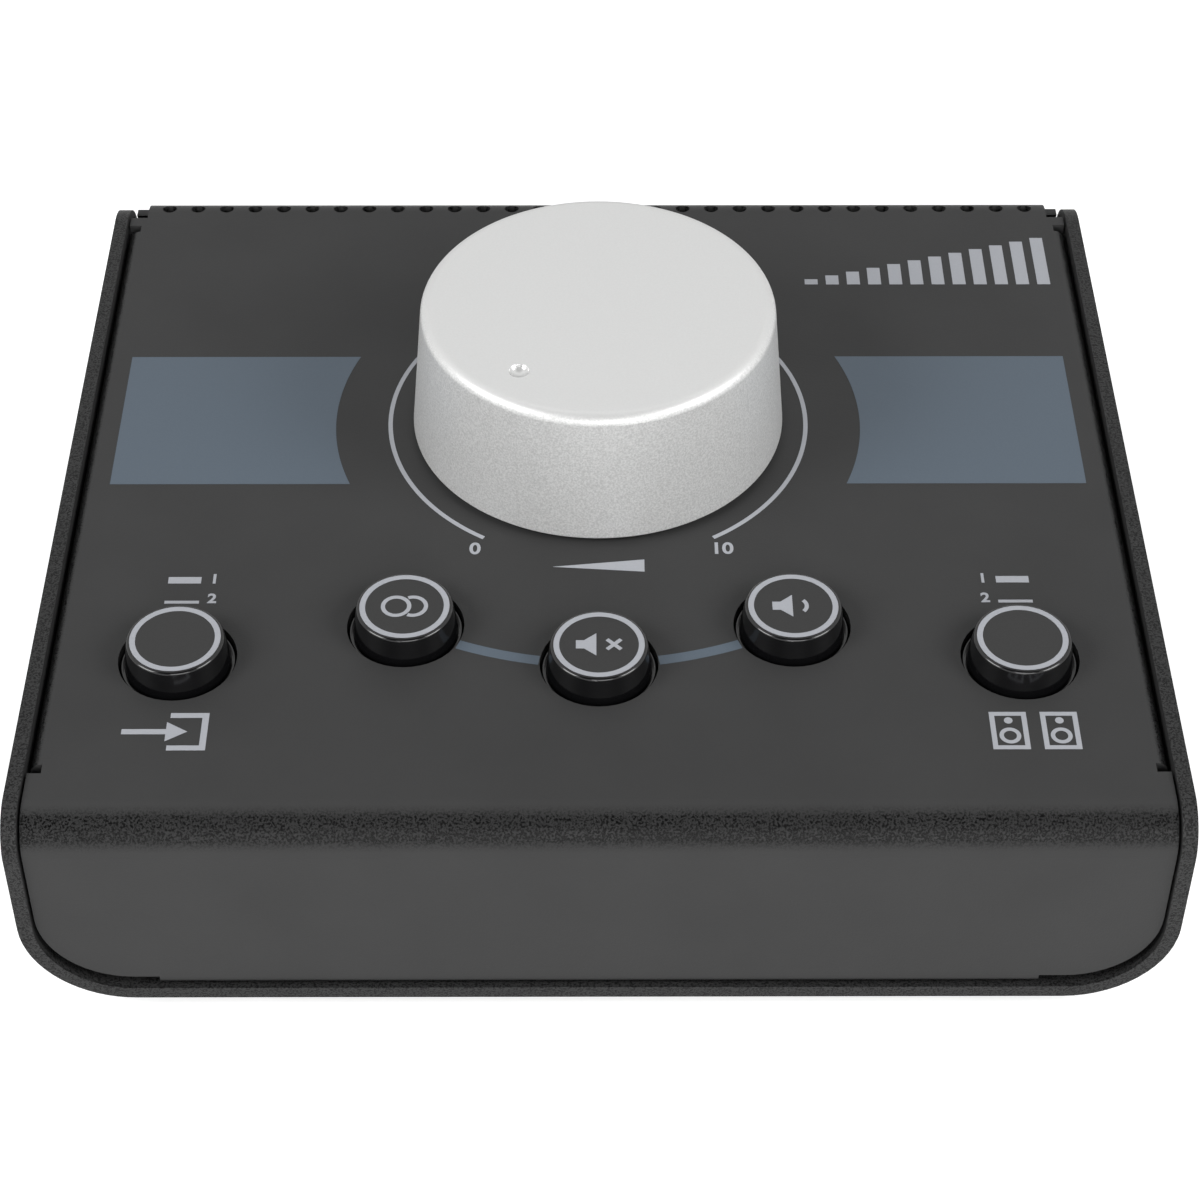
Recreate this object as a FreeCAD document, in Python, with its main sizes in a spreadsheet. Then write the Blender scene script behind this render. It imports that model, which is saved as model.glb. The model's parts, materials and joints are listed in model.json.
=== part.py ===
"""Studio monitor controller: a desk-top wedge with a volume knob and five push buttons.

Millimetres and degrees, +X to the right, +Y to the rear, +Z up, origin on the desk under the middle.
The panel slopes up to the rear. What belongs to it is drawn in panel terms: s runs along the panel to the
rear and n out of it, both from the centre of the knob at the level of the panel's face.
"""
import FreeCAD, Part
import math
import os
import Sketcher
from collections import namedtuple
from FreeCAD import Placement, Rotation, Vector

SIZES = {
    # Case: a U-shaped chassis and one folded cover
    "case_width": 168,
    "slope": 8,
    "wall": 2.2,
    "sheet": 1.6,
    "side_front": 89.1,
    "side_drop": 36.4,
    "side_proud": 0.6,
    "side_front_corner": 6.6,
    "side_rear_corner": 9.5,
    "chassis_bend": 15.5,
    "rear_reach": 62.3,
    "cover_bend": 6,
    "cover_gap": 0.4,
    "lip_bend": 1.8,
    "fold_inside": 0.2,
    "lip_length": 14,
    "lip_inset": 3.8,
    "lip_relief": 0.1,
    "flange_drop": 8,
    "flange_bend": 2,
    "flange_front_inset": 13.2,
    "flange_rear_inset": 12,
    "notch_size": 1.7,
    "crest_trim": 2.8,
    "seat_gap": 0.1,
    # Vents: two rows of round holes over the rear bend
    "vent_count": 31,
    "vent_inset": 6.4,
    "vent_diameter": 2.5,
    "vent_angle": 10.5,
    "vent_step": 47.7,
    # Feet and case screws
    "foot_height": 3,
    "foot_radius": 6,
    "foot_edge": 0.6,
    "foot_side": 24,
    "foot_inset": 15,
    "screw_inset": 14.7,
    "screw_radius": 1.5,
    "screw_head_radius": 2.8,
    "screw_head_height": 1.7,
    "screw_tail": 2,
    "screw_play": 0.2,
    # Volume knob
    "knob_gap": 0.64,
    "knob_height": 22.96,
    "knob_base_radius": 29.7,
    "knob_top_radius": 27.68,
    "knob_edge": 1.7,
    "knob_foot_edge": 0.5,
    "knob_recess_radius": 24,
    "knob_recess_depth": 6,
    "dimple_radius": 1.6,
    "dimple_depth": 0.9,
    "dimple_reach": 20.5,
    "dimple_angle": 36,
    "insert_radius": 5,
    "insert_length": 12,
    # Potentiometer
    "shaft_radius": 3,
    "shaft_play": 0.08,
    "bushing_radius": 4.5,
    "bushing_rise": 5.6,
    "panel_play": 0.2,
    "pot_washer_radius": 7,
    "pot_washer_height": 0.5,
    "pot_nut_across": 12,
    "pot_nut_height": 2.4,
    "pot_width": 27,
    "pot_depth": 28,
    "pot_spacer": 1,
    "pot_gangs": 4,
    "gang_height": 6,
    "gang_pitch": 8.4,
    "pot_front_plate": 3,
    # Push buttons
    "button_hole_radius": 8.79,
    "mono_across": 28.9,
    "mono_back": 47.7,
    "mute_back": 55.8,
    "select_inset": 21.7,
    "select_back": 54.5,
    "button_travel": 3,
    "cap_rise": 4,
    "cap_top_radius": 7.2,
    "cap_skirt_radius": 7.9,
    "cap_edge": 0.45,
    "cap_skirt_depth": 0.7,
    "cap_groove_depth": 0.9,
    "cap_groove_width": 0.25,
    "cap_brim_drop": 0.85,
    "cap_brim_radius": 8.5,
    "cap_brim_edge": 0.2,
    "cap_depth": 2.8,
    "cap_wall": 1.6,
    "cap_boss_radius": 3,
    "plunger_radius": 1.7,
    "plunger_bite": 3.6,
    "collar_radius": 2.6,
    "collar_height": 1.2,
    "plunger_tail": 1.1,
    "tail_length": 2.8,
    "spring_wire": 0.45,
    "spring_radius": 2.2,
    "spring_turns": 5,
    # Switch housings, control board and its standoffs
    "switch_width": 11,
    "switch_head": 7.2,
    "switch_roof": 1.2,
    "switch_floor": 1,
    "switch_bore": 3.2,
    "board_depth": 17,
    "board_thickness": 1.6,
    "board_side_gap": 5.8,
    "board_front_gap": 10.9,
    "board_rear_gap": 38.3,
    "board_play": 0.6,
    "pin_radius": 0.4,
    "pin_reach": 2.8,
    "pin_pitch": 3.2,
    "pin_play": 0.15,
    "standoff_inset": 6,
    "standoff_flats": 5,
    "standoff_thread": 6,
    # Jacks on the rear face
    "jack_margin": 14,
    "jack_count": 8,
    "jack_level": 30,
    "jack_gap": 1.5,
    "jack_depth": 27,
    "jack_nose": 3.2,
    "jack_thread_radius": 4.7,
    "jack_bore_radius": 3.25,
    "jack_floor": 1.2,
    "jack_washer_radius": 7,
    "jack_washer_height": 0.5,
    "jack_nut_across": 12.7,
    "jack_nut_height": 2,
    "jack_pin_radius": 0.6,
    "jack_pin_spread": 5,
    "jack_pin_reach": 3,
    "mini_width": 9,
    "mini_depth": 14,
    "mini_nose": 2.6,
    "mini_thread_radius": 3,
    "mini_bore_radius": 1.8,
    "mini_nut_across": 8,
    "mini_nut_height": 1.8,
    "jack_board_gap": 3.8,
    "jack_board_low": 12,
    "jack_board_high": 48,
    # Ribbon cable between the boards
    "ribbon_across": 40,
    "ribbon_width": 20,
    "ribbon_thickness": 1,
    "ribbon_bend": 3,
    "ribbon_level": 18,
    "header_width": 23,
    "header_depth": 6,
    "header_breadth": 6,
    "header_inset": 7,
}

doc = FreeCAD.newDocument("MonitorController")
sheet = doc.addObject("Spreadsheet::Sheet", "Sizes")
for row, (alias, number) in enumerate(SIZES.items(), start=1):
    sheet.set(f"A{row}", alias)
    sheet.set(f"B{row}", str(number))
    sheet.setAlias(f"B{row}", alias)
doc.recompute()


class Size:
    """A number with the expression that it is bound by, so that sums of sizes stay bound."""

    def __init__(self, number, text):
        self.number = float(number)
        self.text = text

    def __add__(self, other):
        other = as_size(other)
        return Size(self.number + other.number, f"({self.text} + {other.text})")

    def __sub__(self, other):
        other = as_size(other)
        return Size(self.number - other.number, f"({self.text} - {other.text})")

    def __mul__(self, other):
        other = as_size(other)
        return Size(self.number * other.number, f"({self.text} * {other.text})")

    def __truediv__(self, other):
        other = as_size(other)
        return Size(self.number / other.number, f"({self.text} / {other.text})")

    def __radd__(self, other):
        return as_size(other) + self

    def __rsub__(self, other):
        return as_size(other) - self

    def __rmul__(self, other):
        return as_size(other) * self

    def __neg__(self):
        return Size(-self.number, f"(0 - {self.text})")


def as_size(thing):
    return thing if isinstance(thing, Size) else Size(thing, f"({thing!r})")


def sine(angle):
    return Size(math.sin(math.radians(angle.number)), f"sin({angle.text})")


def cosine(angle):
    return Size(math.cos(math.radians(angle.number)), f"cos({angle.text})")


def bind(thing, name, size):
    """Set a property and bind it to its expression."""
    size = as_size(size)
    if "." not in name:
        setattr(thing, name, size.number)
    thing.setExpression(name, size.text)


dims = namedtuple("Sheet", SIZES)(*[Size(number, f"Sizes.{alias}") for alias, number in SIZES.items()])
Circle = namedtuple("Circle", "x y radius")

# Where the panel stands: the knob's centre at the level of the panel's face

RISE = sine(dims.slope)
LEVEL = cosine(dims.slope)
front_reach = (dims.side_front - dims.side_front_corner) * LEVEL
front_reach = front_reach - (dims.side_front_corner - dims.side_proud) * RISE + dims.side_front_corner
KNOB_Y = (front_reach - dims.rear_reach - dims.jack_nose) / 2
KNOB_Z = dims.foot_height + dims.side_front * RISE + dims.side_drop * LEVEL


def world(s, n):
    """The (y, z) of a point given along the panel and out of it."""
    return KNOB_Y + s * LEVEL - n * RISE, KNOB_Z + s * RISE + n * LEVEL


def at_height(s, height):
    """The (y, z) where the line at s across the panel comes to a height above the desk."""
    return world(s, (height - KNOB_Z - s * RISE) / LEVEL)


def at_depth(n, y):
    """The (y, z) where a line along the panel at level n comes to a y."""
    return world((y - KNOB_Y + n * RISE) / LEVEL, n)


REAR_Y = KNOB_Y + dims.rear_reach
FLOOR_TOP = dims.foot_height + dims.wall
CASE_HALF = dims.case_width / 2
INNER_HALF = CASE_HALF - dims.wall
COVER_HALF = INNER_HALF - dims.cover_gap
FACE = dims.side_front - dims.side_proud
BOARD_TOP = -dims.board_depth
BUTTONS = {
    "mono": (-dims.mono_across, -dims.mono_back),
    "mute": (as_size(0), -dims.mute_back),
    "dim": (dims.mono_across, -dims.mono_back),
    "source": (dims.select_inset - CASE_HALF, -dims.select_back),
    "monitor": (CASE_HALF - dims.select_inset, -dims.select_back),
}

# Drawing and feature helpers

PIECES = []


def new_body(name, x=0, y=0, z_level=0, tilt=0):
    """A body at a place of its own, turned about X by its tilt."""
    body = doc.addObject("PartDesign::Body", name)
    body.Label = name
    place = [as_size(part) for part in (x, y, z_level, tilt)]
    body.Placement = Placement(
        Vector(*[part.number for part in place[:3]]), Rotation(Vector(1, 0, 0), place[3].number)
    )
    for axis, part in zip("xyz", place):
        body.setExpression(f"Placement.Base.{axis}", part.text)
    if place[3].number:
        body.setExpression("Placement.Rotation.Angle", place[3].text)
    PIECES.append(body)
    return body


def panel_body(name, x=0, s=0):
    """A body whose own Y and Z are the panel's s and n, from a point on the panel's face."""
    y, height = world(as_size(s), as_size(0))
    return new_body(name, x, y, height, dims.slope)


def draw(sketch, loop):
    """Add a circle, or a closed loop of lines, with each point held by its own two sizes."""
    if isinstance(loop, Circle):
        x, y, radius = [as_size(part) for part in loop]
        centre = Vector(x.number, y.number, 0)
        ring = sketch.addGeometry(Part.Circle(centre, Vector(0, 0, 1), radius.number), False)
        hold(sketch, ring, 3, x, y)
        rule = sketch.addConstraint(Sketcher.Constraint("Radius", ring, radius.number))
        sketch.setExpression(f"Constraints[{rule}]", radius.text)
        return
    points = [(as_size(x), as_size(y)) for x, y in loop]
    corners = [Vector(x.number, y.number, 0) for x, y in points]
    lines = []
    for start, end in zip(corners, corners[1:] + corners[:1]):
        lines.append(sketch.addGeometry(Part.LineSegment(start, end), False))
    for line, following in zip(lines, lines[1:] + lines[:1]):
        sketch.addConstraint(Sketcher.Constraint("Coincident", line, 2, following, 1))
    for line, (x, y) in zip(lines, points):
        hold(sketch, line, 1, x, y)


def hold(sketch, shape, point, x, y):
    """Hold a point of a sketch at x and y, both bound to their sizes."""
    for kind, size in (("DistanceX", x), ("DistanceY", y)):
        rule = sketch.addConstraint(Sketcher.Constraint(kind, shape, point, size.number))
        sketch.setExpression(f"Constraints[{rule}]", size.text)


def work_out(feature):
    """Recompute, and stop at a feature that fails."""
    doc.recompute()
    if feature.State != ["Up-to-date"]:
        raise RuntimeError(f"{feature.Label} failed: {feature.getStatusString()}")


def rectangle(x_low, x_high, y_low, y_high):
    return [(x_low, y_low), (x_high, y_low), (x_high, y_high), (x_low, y_high)]


def square(x, y, width, height):
    """A rectangle round a point."""
    return rectangle(x - width / 2, x + width / 2, y - height / 2, y + height / 2)


def hexagon(x, y, across):
    """A hexagon of a given width across its flats."""
    corner = across / math.sqrt(3)
    turns = [math.radians(60 * step) for step in range(6)]
    return [(x + corner * round(math.cos(turn), 9), y + corner * round(math.sin(turn), 9)) for turn in turns]


def new_sketch(body, plane, level, loops, origin, tilt):
    """A sketch on one of the body's planes, lifted to a level and, with a tilt, turned about X."""
    sketch = body.newObject("Sketcher::SketchObject", f"{body.Name}_sketch")
    support = [part for part in body.Origin.OriginFeatures if part.Role == plane]
    sketch.AttachmentSupport = [(support[0], "")]
    sketch.MapMode = "FlatFace"
    y, height = [as_size(part) for part in origin]
    level, tilt = as_size(level), as_size(tilt)
    if plane == "XY_Plane":
        base = (as_size(0), y - level * sine(tilt), height + level * cosine(tilt))
    elif plane == "XZ_Plane":
        base = (as_size(0), height + level * sine(tilt), -(y + level * cosine(tilt)))
    else:
        base = (as_size(0), as_size(0), level)
    sketch.AttachmentOffset = Placement(
        Vector(*[part.number for part in base]), Rotation(Vector(1, 0, 0), tilt.number)
    )
    for axis, part in zip("xyz", base):
        sketch.setExpression(f"AttachmentOffset.Base.{axis}", part.text)
    if tilt.number:
        sketch.setExpression("AttachmentOffset.Rotation.Angle", tilt.text)
    for loop in loops:
        draw(sketch, loop)
    return sketch


def prism(body, plane, start, end, *loops, cut=False, origin=(0, 0), tilt=0):
    """Pad loops from one level to another along the axis that the plane faces, or cut them out."""
    start, end = as_size(start), as_size(end)
    sketch = new_sketch(body, plane, start, loops, origin, tilt)
    forward = end.number > start.number
    kind = "Pocket" if cut else "Pad"
    before = body.Shape.Volume if cut else 0
    feature = body.newObject(f"PartDesign::{kind}", f"{body.Name}_{kind.lower()}")
    feature.Profile = sketch
    bind(feature, "Length", end - start if forward else start - end)
    along_normal = forward if plane != "XZ_Plane" else not forward
    feature.Reversed = along_normal if cut else not along_normal
    work_out(feature)
    if cut and body.Shape.Volume > before - 1e-6:
        raise RuntimeError(f"a cut in {body.Label} removes nothing")
    return feature


def cut(body, plane, start, end, *loops, **place):
    return prism(body, plane, start, end, *loops, cut=True, **place)


def turned(body, *loops):
    """Revolve loops of (radius, level) points about the body's own Z."""
    sketch = new_sketch(body, "XZ_Plane", 0, loops, (0, 0), 0)
    feature = body.newObject("PartDesign::Revolution", f"{body.Name}_turned")
    feature.Profile = sketch
    feature.ReferenceAxis = (sketch, ["V_Axis"])
    work_out(feature)


def disc_piece(body, radius, bore, low, high):
    """A turned ring from one level to another."""
    turned(body, rectangle(bore, radius, low, high))


def dress(body, kind, size, chosen):
    """Round or bevel the edges of the body that a test chooses."""
    names = [f"Edge{place}" for place, edge in enumerate(body.Tip.Shape.Edges, start=1) if chosen(edge)]
    if not names:
        raise RuntimeError(f"{body.Label} has no edge to dress")
    dressed = body.Tip
    feature = body.newObject(f"PartDesign::{kind}", f"{body.Name}_{kind.lower()}")
    feature.Base = (dressed, names)
    bind(feature, "Radius" if kind == "Fillet" else "Size", size)
    work_out(feature)


def lines_along_x(*points):
    """A test for straight edges along X through any of some (y, z) points."""
    def chosen(edge):
        ends = [vertex.Point for vertex in edge.Vertexes]
        if len(ends) != 2 or abs(ends[0].x - ends[1].x) < 1e-4:
            return False
        return any(
            all(math.hypot(end.y - as_size(y).number, end.z - as_size(height).number) < 1e-4 for end in ends)
            for y, height in points
        )
    return chosen


def lines_at_sides(x, places):
    """A test for straight edges at x or -x whose ends both lie at one of some (y, z) places.

    A place with no y takes any y."""
    def near(end):
        return any(
            abs(end.z - height.number) < 1e-4 and (y is None or abs(end.y - y.number) < 1e-4)
            for y, height in places
        )

    def chosen(edge):
        ends = [vertex.Point for vertex in edge.Vertexes]
        if len(ends) != 2 or abs(ends[0].x - ends[1].x) > 1e-4:
            return False
        return abs(abs(ends[0].x) - x.number) < 1e-4 and near(ends[0]) and near(ends[1])
    return chosen


def circles_at(*rings):
    """A test for whole circles by their (radius, level)."""
    def chosen(edge):
        if edge.Curve.TypeId != "Part::GeomCircle":
            return False
        return any(
            abs(edge.Curve.Radius - as_size(radius).number) < 1e-4
            and abs(edge.Curve.Center.z - as_size(level).number) < 1e-4
            for radius, level in rings
        )
    return chosen


def sides(number):
    return (-number, number)


def grid(across, *backs):
    """The points at each of some distances back, on both sides."""
    return [(x, y) for x in sides(across) for y in backs]


# Case

def base_chassis():
    """Both sides and the floor in one sheet; the side edges frame the cover."""
    body = new_body("base_chassis")
    half, wall = CASE_HALF, dims.wall
    low, top = dims.foot_height, dims.foot_height + dims.case_width
    reach = dims.case_width
    section = [
        (-half, low), (half, low), (half, top), (half - wall, top),
        (half - wall, low + wall), (wall - half, low + wall), (wall - half, top), (-half, top),
    ]
    prism(body, "XZ_Plane", -reach, reach, section)
    bends = {(half, low): dims.chassis_bend, (half - wall, low + wall): dims.chassis_bend - wall}
    for (x, height), radius in bends.items():
        dress(body, "Fillet", radius, lines_at_sides(x, [(None, height)]))
    front, proud = -dims.side_front, dims.side_proud
    front_top = world(front, proud)
    rear_top = at_depth(proud, REAR_Y + proud)
    profile = [world(front, -dims.side_drop), front_top, rear_top, (REAR_Y + proud, low)]
    outside = rectangle(-2 * reach, 2 * reach, -reach, 2 * reach)
    cut(body, "YZ_Plane", -reach, reach, outside, profile)
    dress(body, "Fillet", dims.side_front_corner, lines_along_x(front_top))
    dress(body, "Fillet", dims.side_rear_corner, lines_along_x(rear_top))
    holes = [Circle(x, y, dims.screw_radius + dims.screw_play) for x, y in SCREW_PLACES]
    cut(body, "XY_Plane", low, low + wall, *holes)


LIP_LOW = FLOOR_TOP + dims.seat_gap
LIP_FRONT = at_height(-FACE, LIP_LOW)
LIP_REAR = (REAR_Y, LIP_LOW)
LIP_HALF = CASE_HALF - dims.chassis_bend - dims.lip_inset
SCREW_PLACES = grid(
    LIP_HALF - dims.screw_inset, LIP_FRONT[0] + dims.lip_length / 2, REAR_Y - dims.lip_length / 2
)


def top_cover():
    """Front, panel and rear in one sheet, with a lip at each lower end and a flange down each side."""
    body = new_body("top_cover")
    skin, lip, half = dims.sheet, dims.lip_length, COVER_HALF
    front_top = world(-FACE, 0)
    rear_top = at_depth(0, REAR_Y)
    inner = {
        "lip_front": at_height(skin - FACE, LIP_LOW + skin),
        "front_top": world(skin - FACE, -skin),
        "rear_top": at_depth(-skin, REAR_Y - skin),
        "lip_rear": (REAR_Y - skin, LIP_LOW + skin),
    }
    strip = [
        (LIP_FRONT[0] + lip, LIP_LOW), LIP_FRONT, front_top, rear_top, LIP_REAR, (REAR_Y - lip, LIP_LOW),
        (REAR_Y - lip, LIP_LOW + skin), inner["lip_rear"], inner["rear_top"], inner["front_top"],
        inner["lip_front"], (LIP_FRONT[0] + lip, LIP_LOW + skin),
    ]
    prism(body, "YZ_Plane", -half, half, strip)
    dress(body, "Fillet", dims.cover_bend, lines_along_x(front_top, rear_top))
    inside = lines_along_x(inner["front_top"], inner["rear_top"])
    dress(body, "Fillet", dims.cover_bend - skin, inside)
    dress(body, "Fillet", dims.lip_bend, lines_along_x(LIP_FRONT, LIP_REAR))
    dress(body, "Fillet", dims.fold_inside, lines_along_x(inner["lip_front"], inner["lip_rear"]))
    trim_lips(body)
    panel = {"origin": world(0, 0), "tilt": dims.slope}
    cut_side_slots(body, panel)
    cut_panel_holes(body, panel)
    cut_vents(body)
    cut_rear_holes(body)


def trim_lips(body):
    """The lips end before the chassis' bends, and the faces' lower corners follow the bends inside."""
    skin, spare = dims.sheet, dims.lip_length * 2
    low, step = dims.foot_height, LIP_LOW + dims.lip_bend + dims.lip_relief
    level = (step - KNOB_Z + FACE * RISE) / LEVEL
    front = [world(s - FACE, n) for s, n in rectangle(-spare, spare, level - spare, level)]
    rear = rectangle(REAR_Y - spare, REAR_Y + spare, low, step)
    for side in (1, -1):
        cut(body, "YZ_Plane", side * LIP_HALF, side * CASE_HALF, front, rear)
    radius = dims.chassis_bend - dims.wall - dims.cover_gap
    ends = [world(-FACE, level), world(skin - FACE, level), (None, step)]
    dress(body, "Fillet", radius, lines_at_sides(COVER_HALF, ends))


def cut_side_slots(body, panel):
    """Flanges folded down along both sides of the panel, with a square notch at each end of the fold."""
    skin, half, bend = dims.sheet, COVER_HALF, dims.flange_bend
    front, rear = dims.flange_front_inset - dims.side_front, dims.rear_reach - dims.flange_rear_inset
    notch = dims.notch_size
    edges, folds = [], []
    for side in (1, -1):
        edges.append(rectangle(side * (half - bend), side * dims.case_width, front - notch, rear + notch))
        folds.append([
            (side * (half - bend), 0), (side * half, 0),
            (side * half, -dims.flange_drop), (side * (half - skin), -dims.flange_drop),
            (side * (half - skin), -skin), (side * (half - bend), -skin),
        ])
    cut(body, "XY_Plane", -2 * skin, skin, *edges, **panel)
    start, end = dims.rear_reach - dims.cover_bend - bend, dims.case_width
    crest = [world(start, 1), world(end, 1), world(end, -dims.flange_drop), world(start, -2 * skin)]
    for side in (1, -1):
        cut(body, "YZ_Plane", side * (half - dims.crest_trim), side * dims.case_width, crest)
    prism(body, "XZ_Plane", front, rear, *folds, **panel)
    for x, level, radius in ((half, as_size(0), bend), (half - skin, -skin, bend - skin)):
        dress(body, "Fillet", radius, lines_at_sides(x, [world(s, level) for s in (front, rear)]))


def cut_panel_holes(body, panel):
    holes = [Circle(x, s, dims.button_hole_radius) for x, s in BUTTONS.values()]
    holes.append(Circle(0, 0, dims.bushing_radius + dims.panel_play))
    cut(body, "XY_Plane", -2 * dims.sheet, dims.sheet, *holes, **panel)


def cut_vents(body):
    """Two rows of round holes, square to the bend's surface, at two turns of the rear bend."""
    bend = dims.cover_bend
    centre = at_depth(-bend, REAR_Y - bend)
    pitch = 2 * (COVER_HALF - dims.vent_inset) / (SIZES["vent_count"] - 1)
    places = [place - (SIZES["vent_count"] - 1) / 2 for place in range(SIZES["vent_count"])]
    for turn in (dims.vent_angle, dims.vent_angle + dims.vent_step):
        row = [Circle(place * pitch, 0, dims.vent_diameter / 2) for place in places]
        cut(body, "XY_Plane", bend / 2, bend * 2, *row, origin=centre, tilt=dims.slope - turn)


def cut_rear_holes(body):
    """The jacks' holes in the rear face and the screw holes in both lips."""
    play = dims.panel_play
    holes = [Circle(x, dims.jack_level, dims.jack_thread_radius + play) for x in JACKS]
    holes.append(Circle(MINI_X, dims.jack_level, dims.mini_thread_radius + play))
    cut(body, "XZ_Plane", REAR_Y - 2 * dims.sheet, REAR_Y + dims.sheet, *holes)
    taps = [Circle(x, y, dims.screw_radius) for x, y in SCREW_PLACES]
    cut(body, "XY_Plane", LIP_LOW, LIP_LOW + dims.sheet, *taps)


def case_screws():
    body = new_body("case_screws")
    low = dims.foot_height
    heads = [Circle(x, y, dims.screw_head_radius) for x, y in SCREW_PLACES]
    shanks = [Circle(x, y, dims.screw_radius) for x, y in SCREW_PLACES]
    prism(body, "XY_Plane", low - dims.screw_head_height, low, *heads)
    prism(body, "XY_Plane", low, LIP_LOW + dims.sheet + dims.screw_tail, *shanks)


def feet():
    ends = {"front": LIP_FRONT[0] + dims.foot_inset, "rear": REAR_Y - dims.foot_inset}
    for end, y in ends.items():
        for hand, x in (("left", dims.foot_side - CASE_HALF), ("right", CASE_HALF - dims.foot_side)):
            body = new_body(f"foot_{end}_{hand}", x, y)
            disc_piece(body, dims.foot_radius, 0, 0, dims.foot_height)
            body_edge = circles_at((dims.foot_radius, 0))
            dress(body, "Fillet", dims.foot_edge, body_edge)


# Volume knob and its potentiometer

KNOB_TOP = dims.knob_gap + dims.knob_height
HUB_LOW = dims.knob_gap + dims.knob_recess_depth
HUB_HIGH = HUB_LOW + dims.insert_length
POT_LOW = dims.sheet + dims.pot_front_plate + (dims.pot_gangs - 1) * dims.gang_pitch + dims.gang_height


def volume_knob():
    """A turned aluminium knob, hollow below for the nut, bored for its insert, dimpled as its pointer."""
    body = panel_body("volume_knob")
    foot, top = dims.knob_gap, KNOB_TOP
    turned(body, [
        (0, top), (dims.knob_top_radius, top), (dims.knob_base_radius, foot),
        (dims.knob_recess_radius, foot), (dims.knob_recess_radius, HUB_LOW),
        (dims.insert_radius, HUB_LOW), (dims.insert_radius, HUB_HIGH), (0, HUB_HIGH),
    ])
    dress(body, "Fillet", dims.knob_edge, circles_at((dims.knob_top_radius, top)))
    dress(body, "Chamfer", dims.knob_foot_edge, circles_at((dims.knob_base_radius, foot)))
    ball = body.newObject("PartDesign::SubtractiveSphere", "volume_knob_dimple")
    wide, deep = dims.dimple_radius, dims.dimple_depth
    radius = (wide * wide + deep * deep) / (2 * deep)
    bind(ball, "Radius", radius)
    place = (
        -dims.dimple_reach * sine(dims.dimple_angle),
        -dims.dimple_reach * cosine(dims.dimple_angle),
        top + radius - deep,
    )
    ball.Placement = Placement(Vector(*[part.number for part in place]), Rotation())
    for axis, part in zip("xyz", place):
        ball.setExpression(f"Placement.Base.{axis}", part.text)
    work_out(ball)


def potentiometer():
    shaft, bushing = dims.shaft_radius, dims.bushing_radius
    bore = shaft + dims.shaft_play
    under = -dims.sheet
    disc_piece(panel_body("knob_insert"), dims.insert_radius, shaft, HUB_LOW, HUB_HIGH)
    disc_piece(panel_body("pot_shaft"), shaft, 0, -POT_LOW + dims.pot_spacer, HUB_HIGH)
    disc_piece(panel_body("pot_bushing"), bushing, bore, under, dims.bushing_rise)
    nut_low = dims.pot_washer_height
    disc_piece(panel_body("pot_washer"), dims.pot_washer_radius, bushing, 0, nut_low)
    nut = panel_body("pot_nut")
    nut_top = nut_low + dims.pot_nut_height
    prism(nut, "XY_Plane", nut_low, nut_top, hexagon(0, 0, dims.pot_nut_across), Circle(0, 0, bushing))
    body = panel_body("pot_body")
    core = square(0, 0, dims.pot_width - 2 * dims.pot_spacer, dims.pot_depth - 2 * dims.pot_spacer)
    plate = square(0, 0, dims.pot_width, dims.pot_depth)
    prism(body, "XY_Plane", under, -POT_LOW, core)
    prism(body, "XY_Plane", under, under - dims.pot_front_plate, plate)
    for gang in range(SIZES["pot_gangs"]):
        top = under - dims.pot_front_plate - gang * dims.gang_pitch
        prism(body, "XY_Plane", top, top - dims.gang_height, plate)
    cut(body, "XY_Plane", under, dims.pot_spacer / 2 - POT_LOW, Circle(0, 0, bore))


# Push buttons: each a cap on a plunger in a switch housing with its return spring

CAP_FLOOR = -dims.cap_depth
PLUNGER_TOP = CAP_FLOOR + dims.plunger_bite
ROOF_UNDER = -dims.switch_head - dims.switch_roof
COLLAR_TOP = ROOF_UNDER - dims.pin_play
COLLAR_LOW = COLLAR_TOP - dims.collar_height
HOUSING_FLOOR = BOARD_TOP + dims.switch_floor


def button_cap(name, x, s):
    """A moulded cap: flared skirt, a groove, then a brim that fills the panel's hole."""
    body = panel_body(f"{name}_cap", x, s)
    skirt, brim = dims.cap_skirt_radius, dims.cap_brim_radius
    groove_x, groove_low = skirt + dims.cap_groove_width, -dims.cap_skirt_depth - dims.cap_groove_depth
    turned(body, [
        (0, dims.cap_rise), (dims.cap_top_radius, dims.cap_rise), (skirt, -dims.cap_skirt_depth),
        (skirt, groove_low), (groove_x, groove_low), (groove_x, -dims.cap_brim_drop),
        (brim, -dims.cap_brim_drop), (brim, CAP_FLOOR), (skirt - dims.cap_wall, CAP_FLOOR),
        (dims.cap_top_radius - dims.cap_wall, dims.cap_rise - dims.cap_wall),
        (dims.cap_boss_radius, dims.cap_rise - dims.cap_wall), (dims.cap_boss_radius, CAP_FLOOR),
        (dims.plunger_radius, CAP_FLOOR), (dims.plunger_radius, PLUNGER_TOP), (0, PLUNGER_TOP),
    ])
    dress(body, "Fillet", dims.cap_edge, circles_at((dims.cap_top_radius, dims.cap_rise)))
    dress(body, "Fillet", dims.cap_brim_edge, circles_at((brim, -dims.cap_brim_drop)))


def plunger(name, x, s):
    body = panel_body(f"{name}_plunger", x, s)
    turned(body, [
        (0, PLUNGER_TOP), (dims.plunger_radius, PLUNGER_TOP), (dims.plunger_radius, COLLAR_TOP),
        (dims.collar_radius, COLLAR_TOP), (dims.collar_radius, COLLAR_LOW),
        (dims.plunger_tail, COLLAR_LOW), (dims.plunger_tail, COLLAR_LOW - dims.tail_length),
        (0, COLLAR_LOW - dims.tail_length),
    ])


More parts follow.
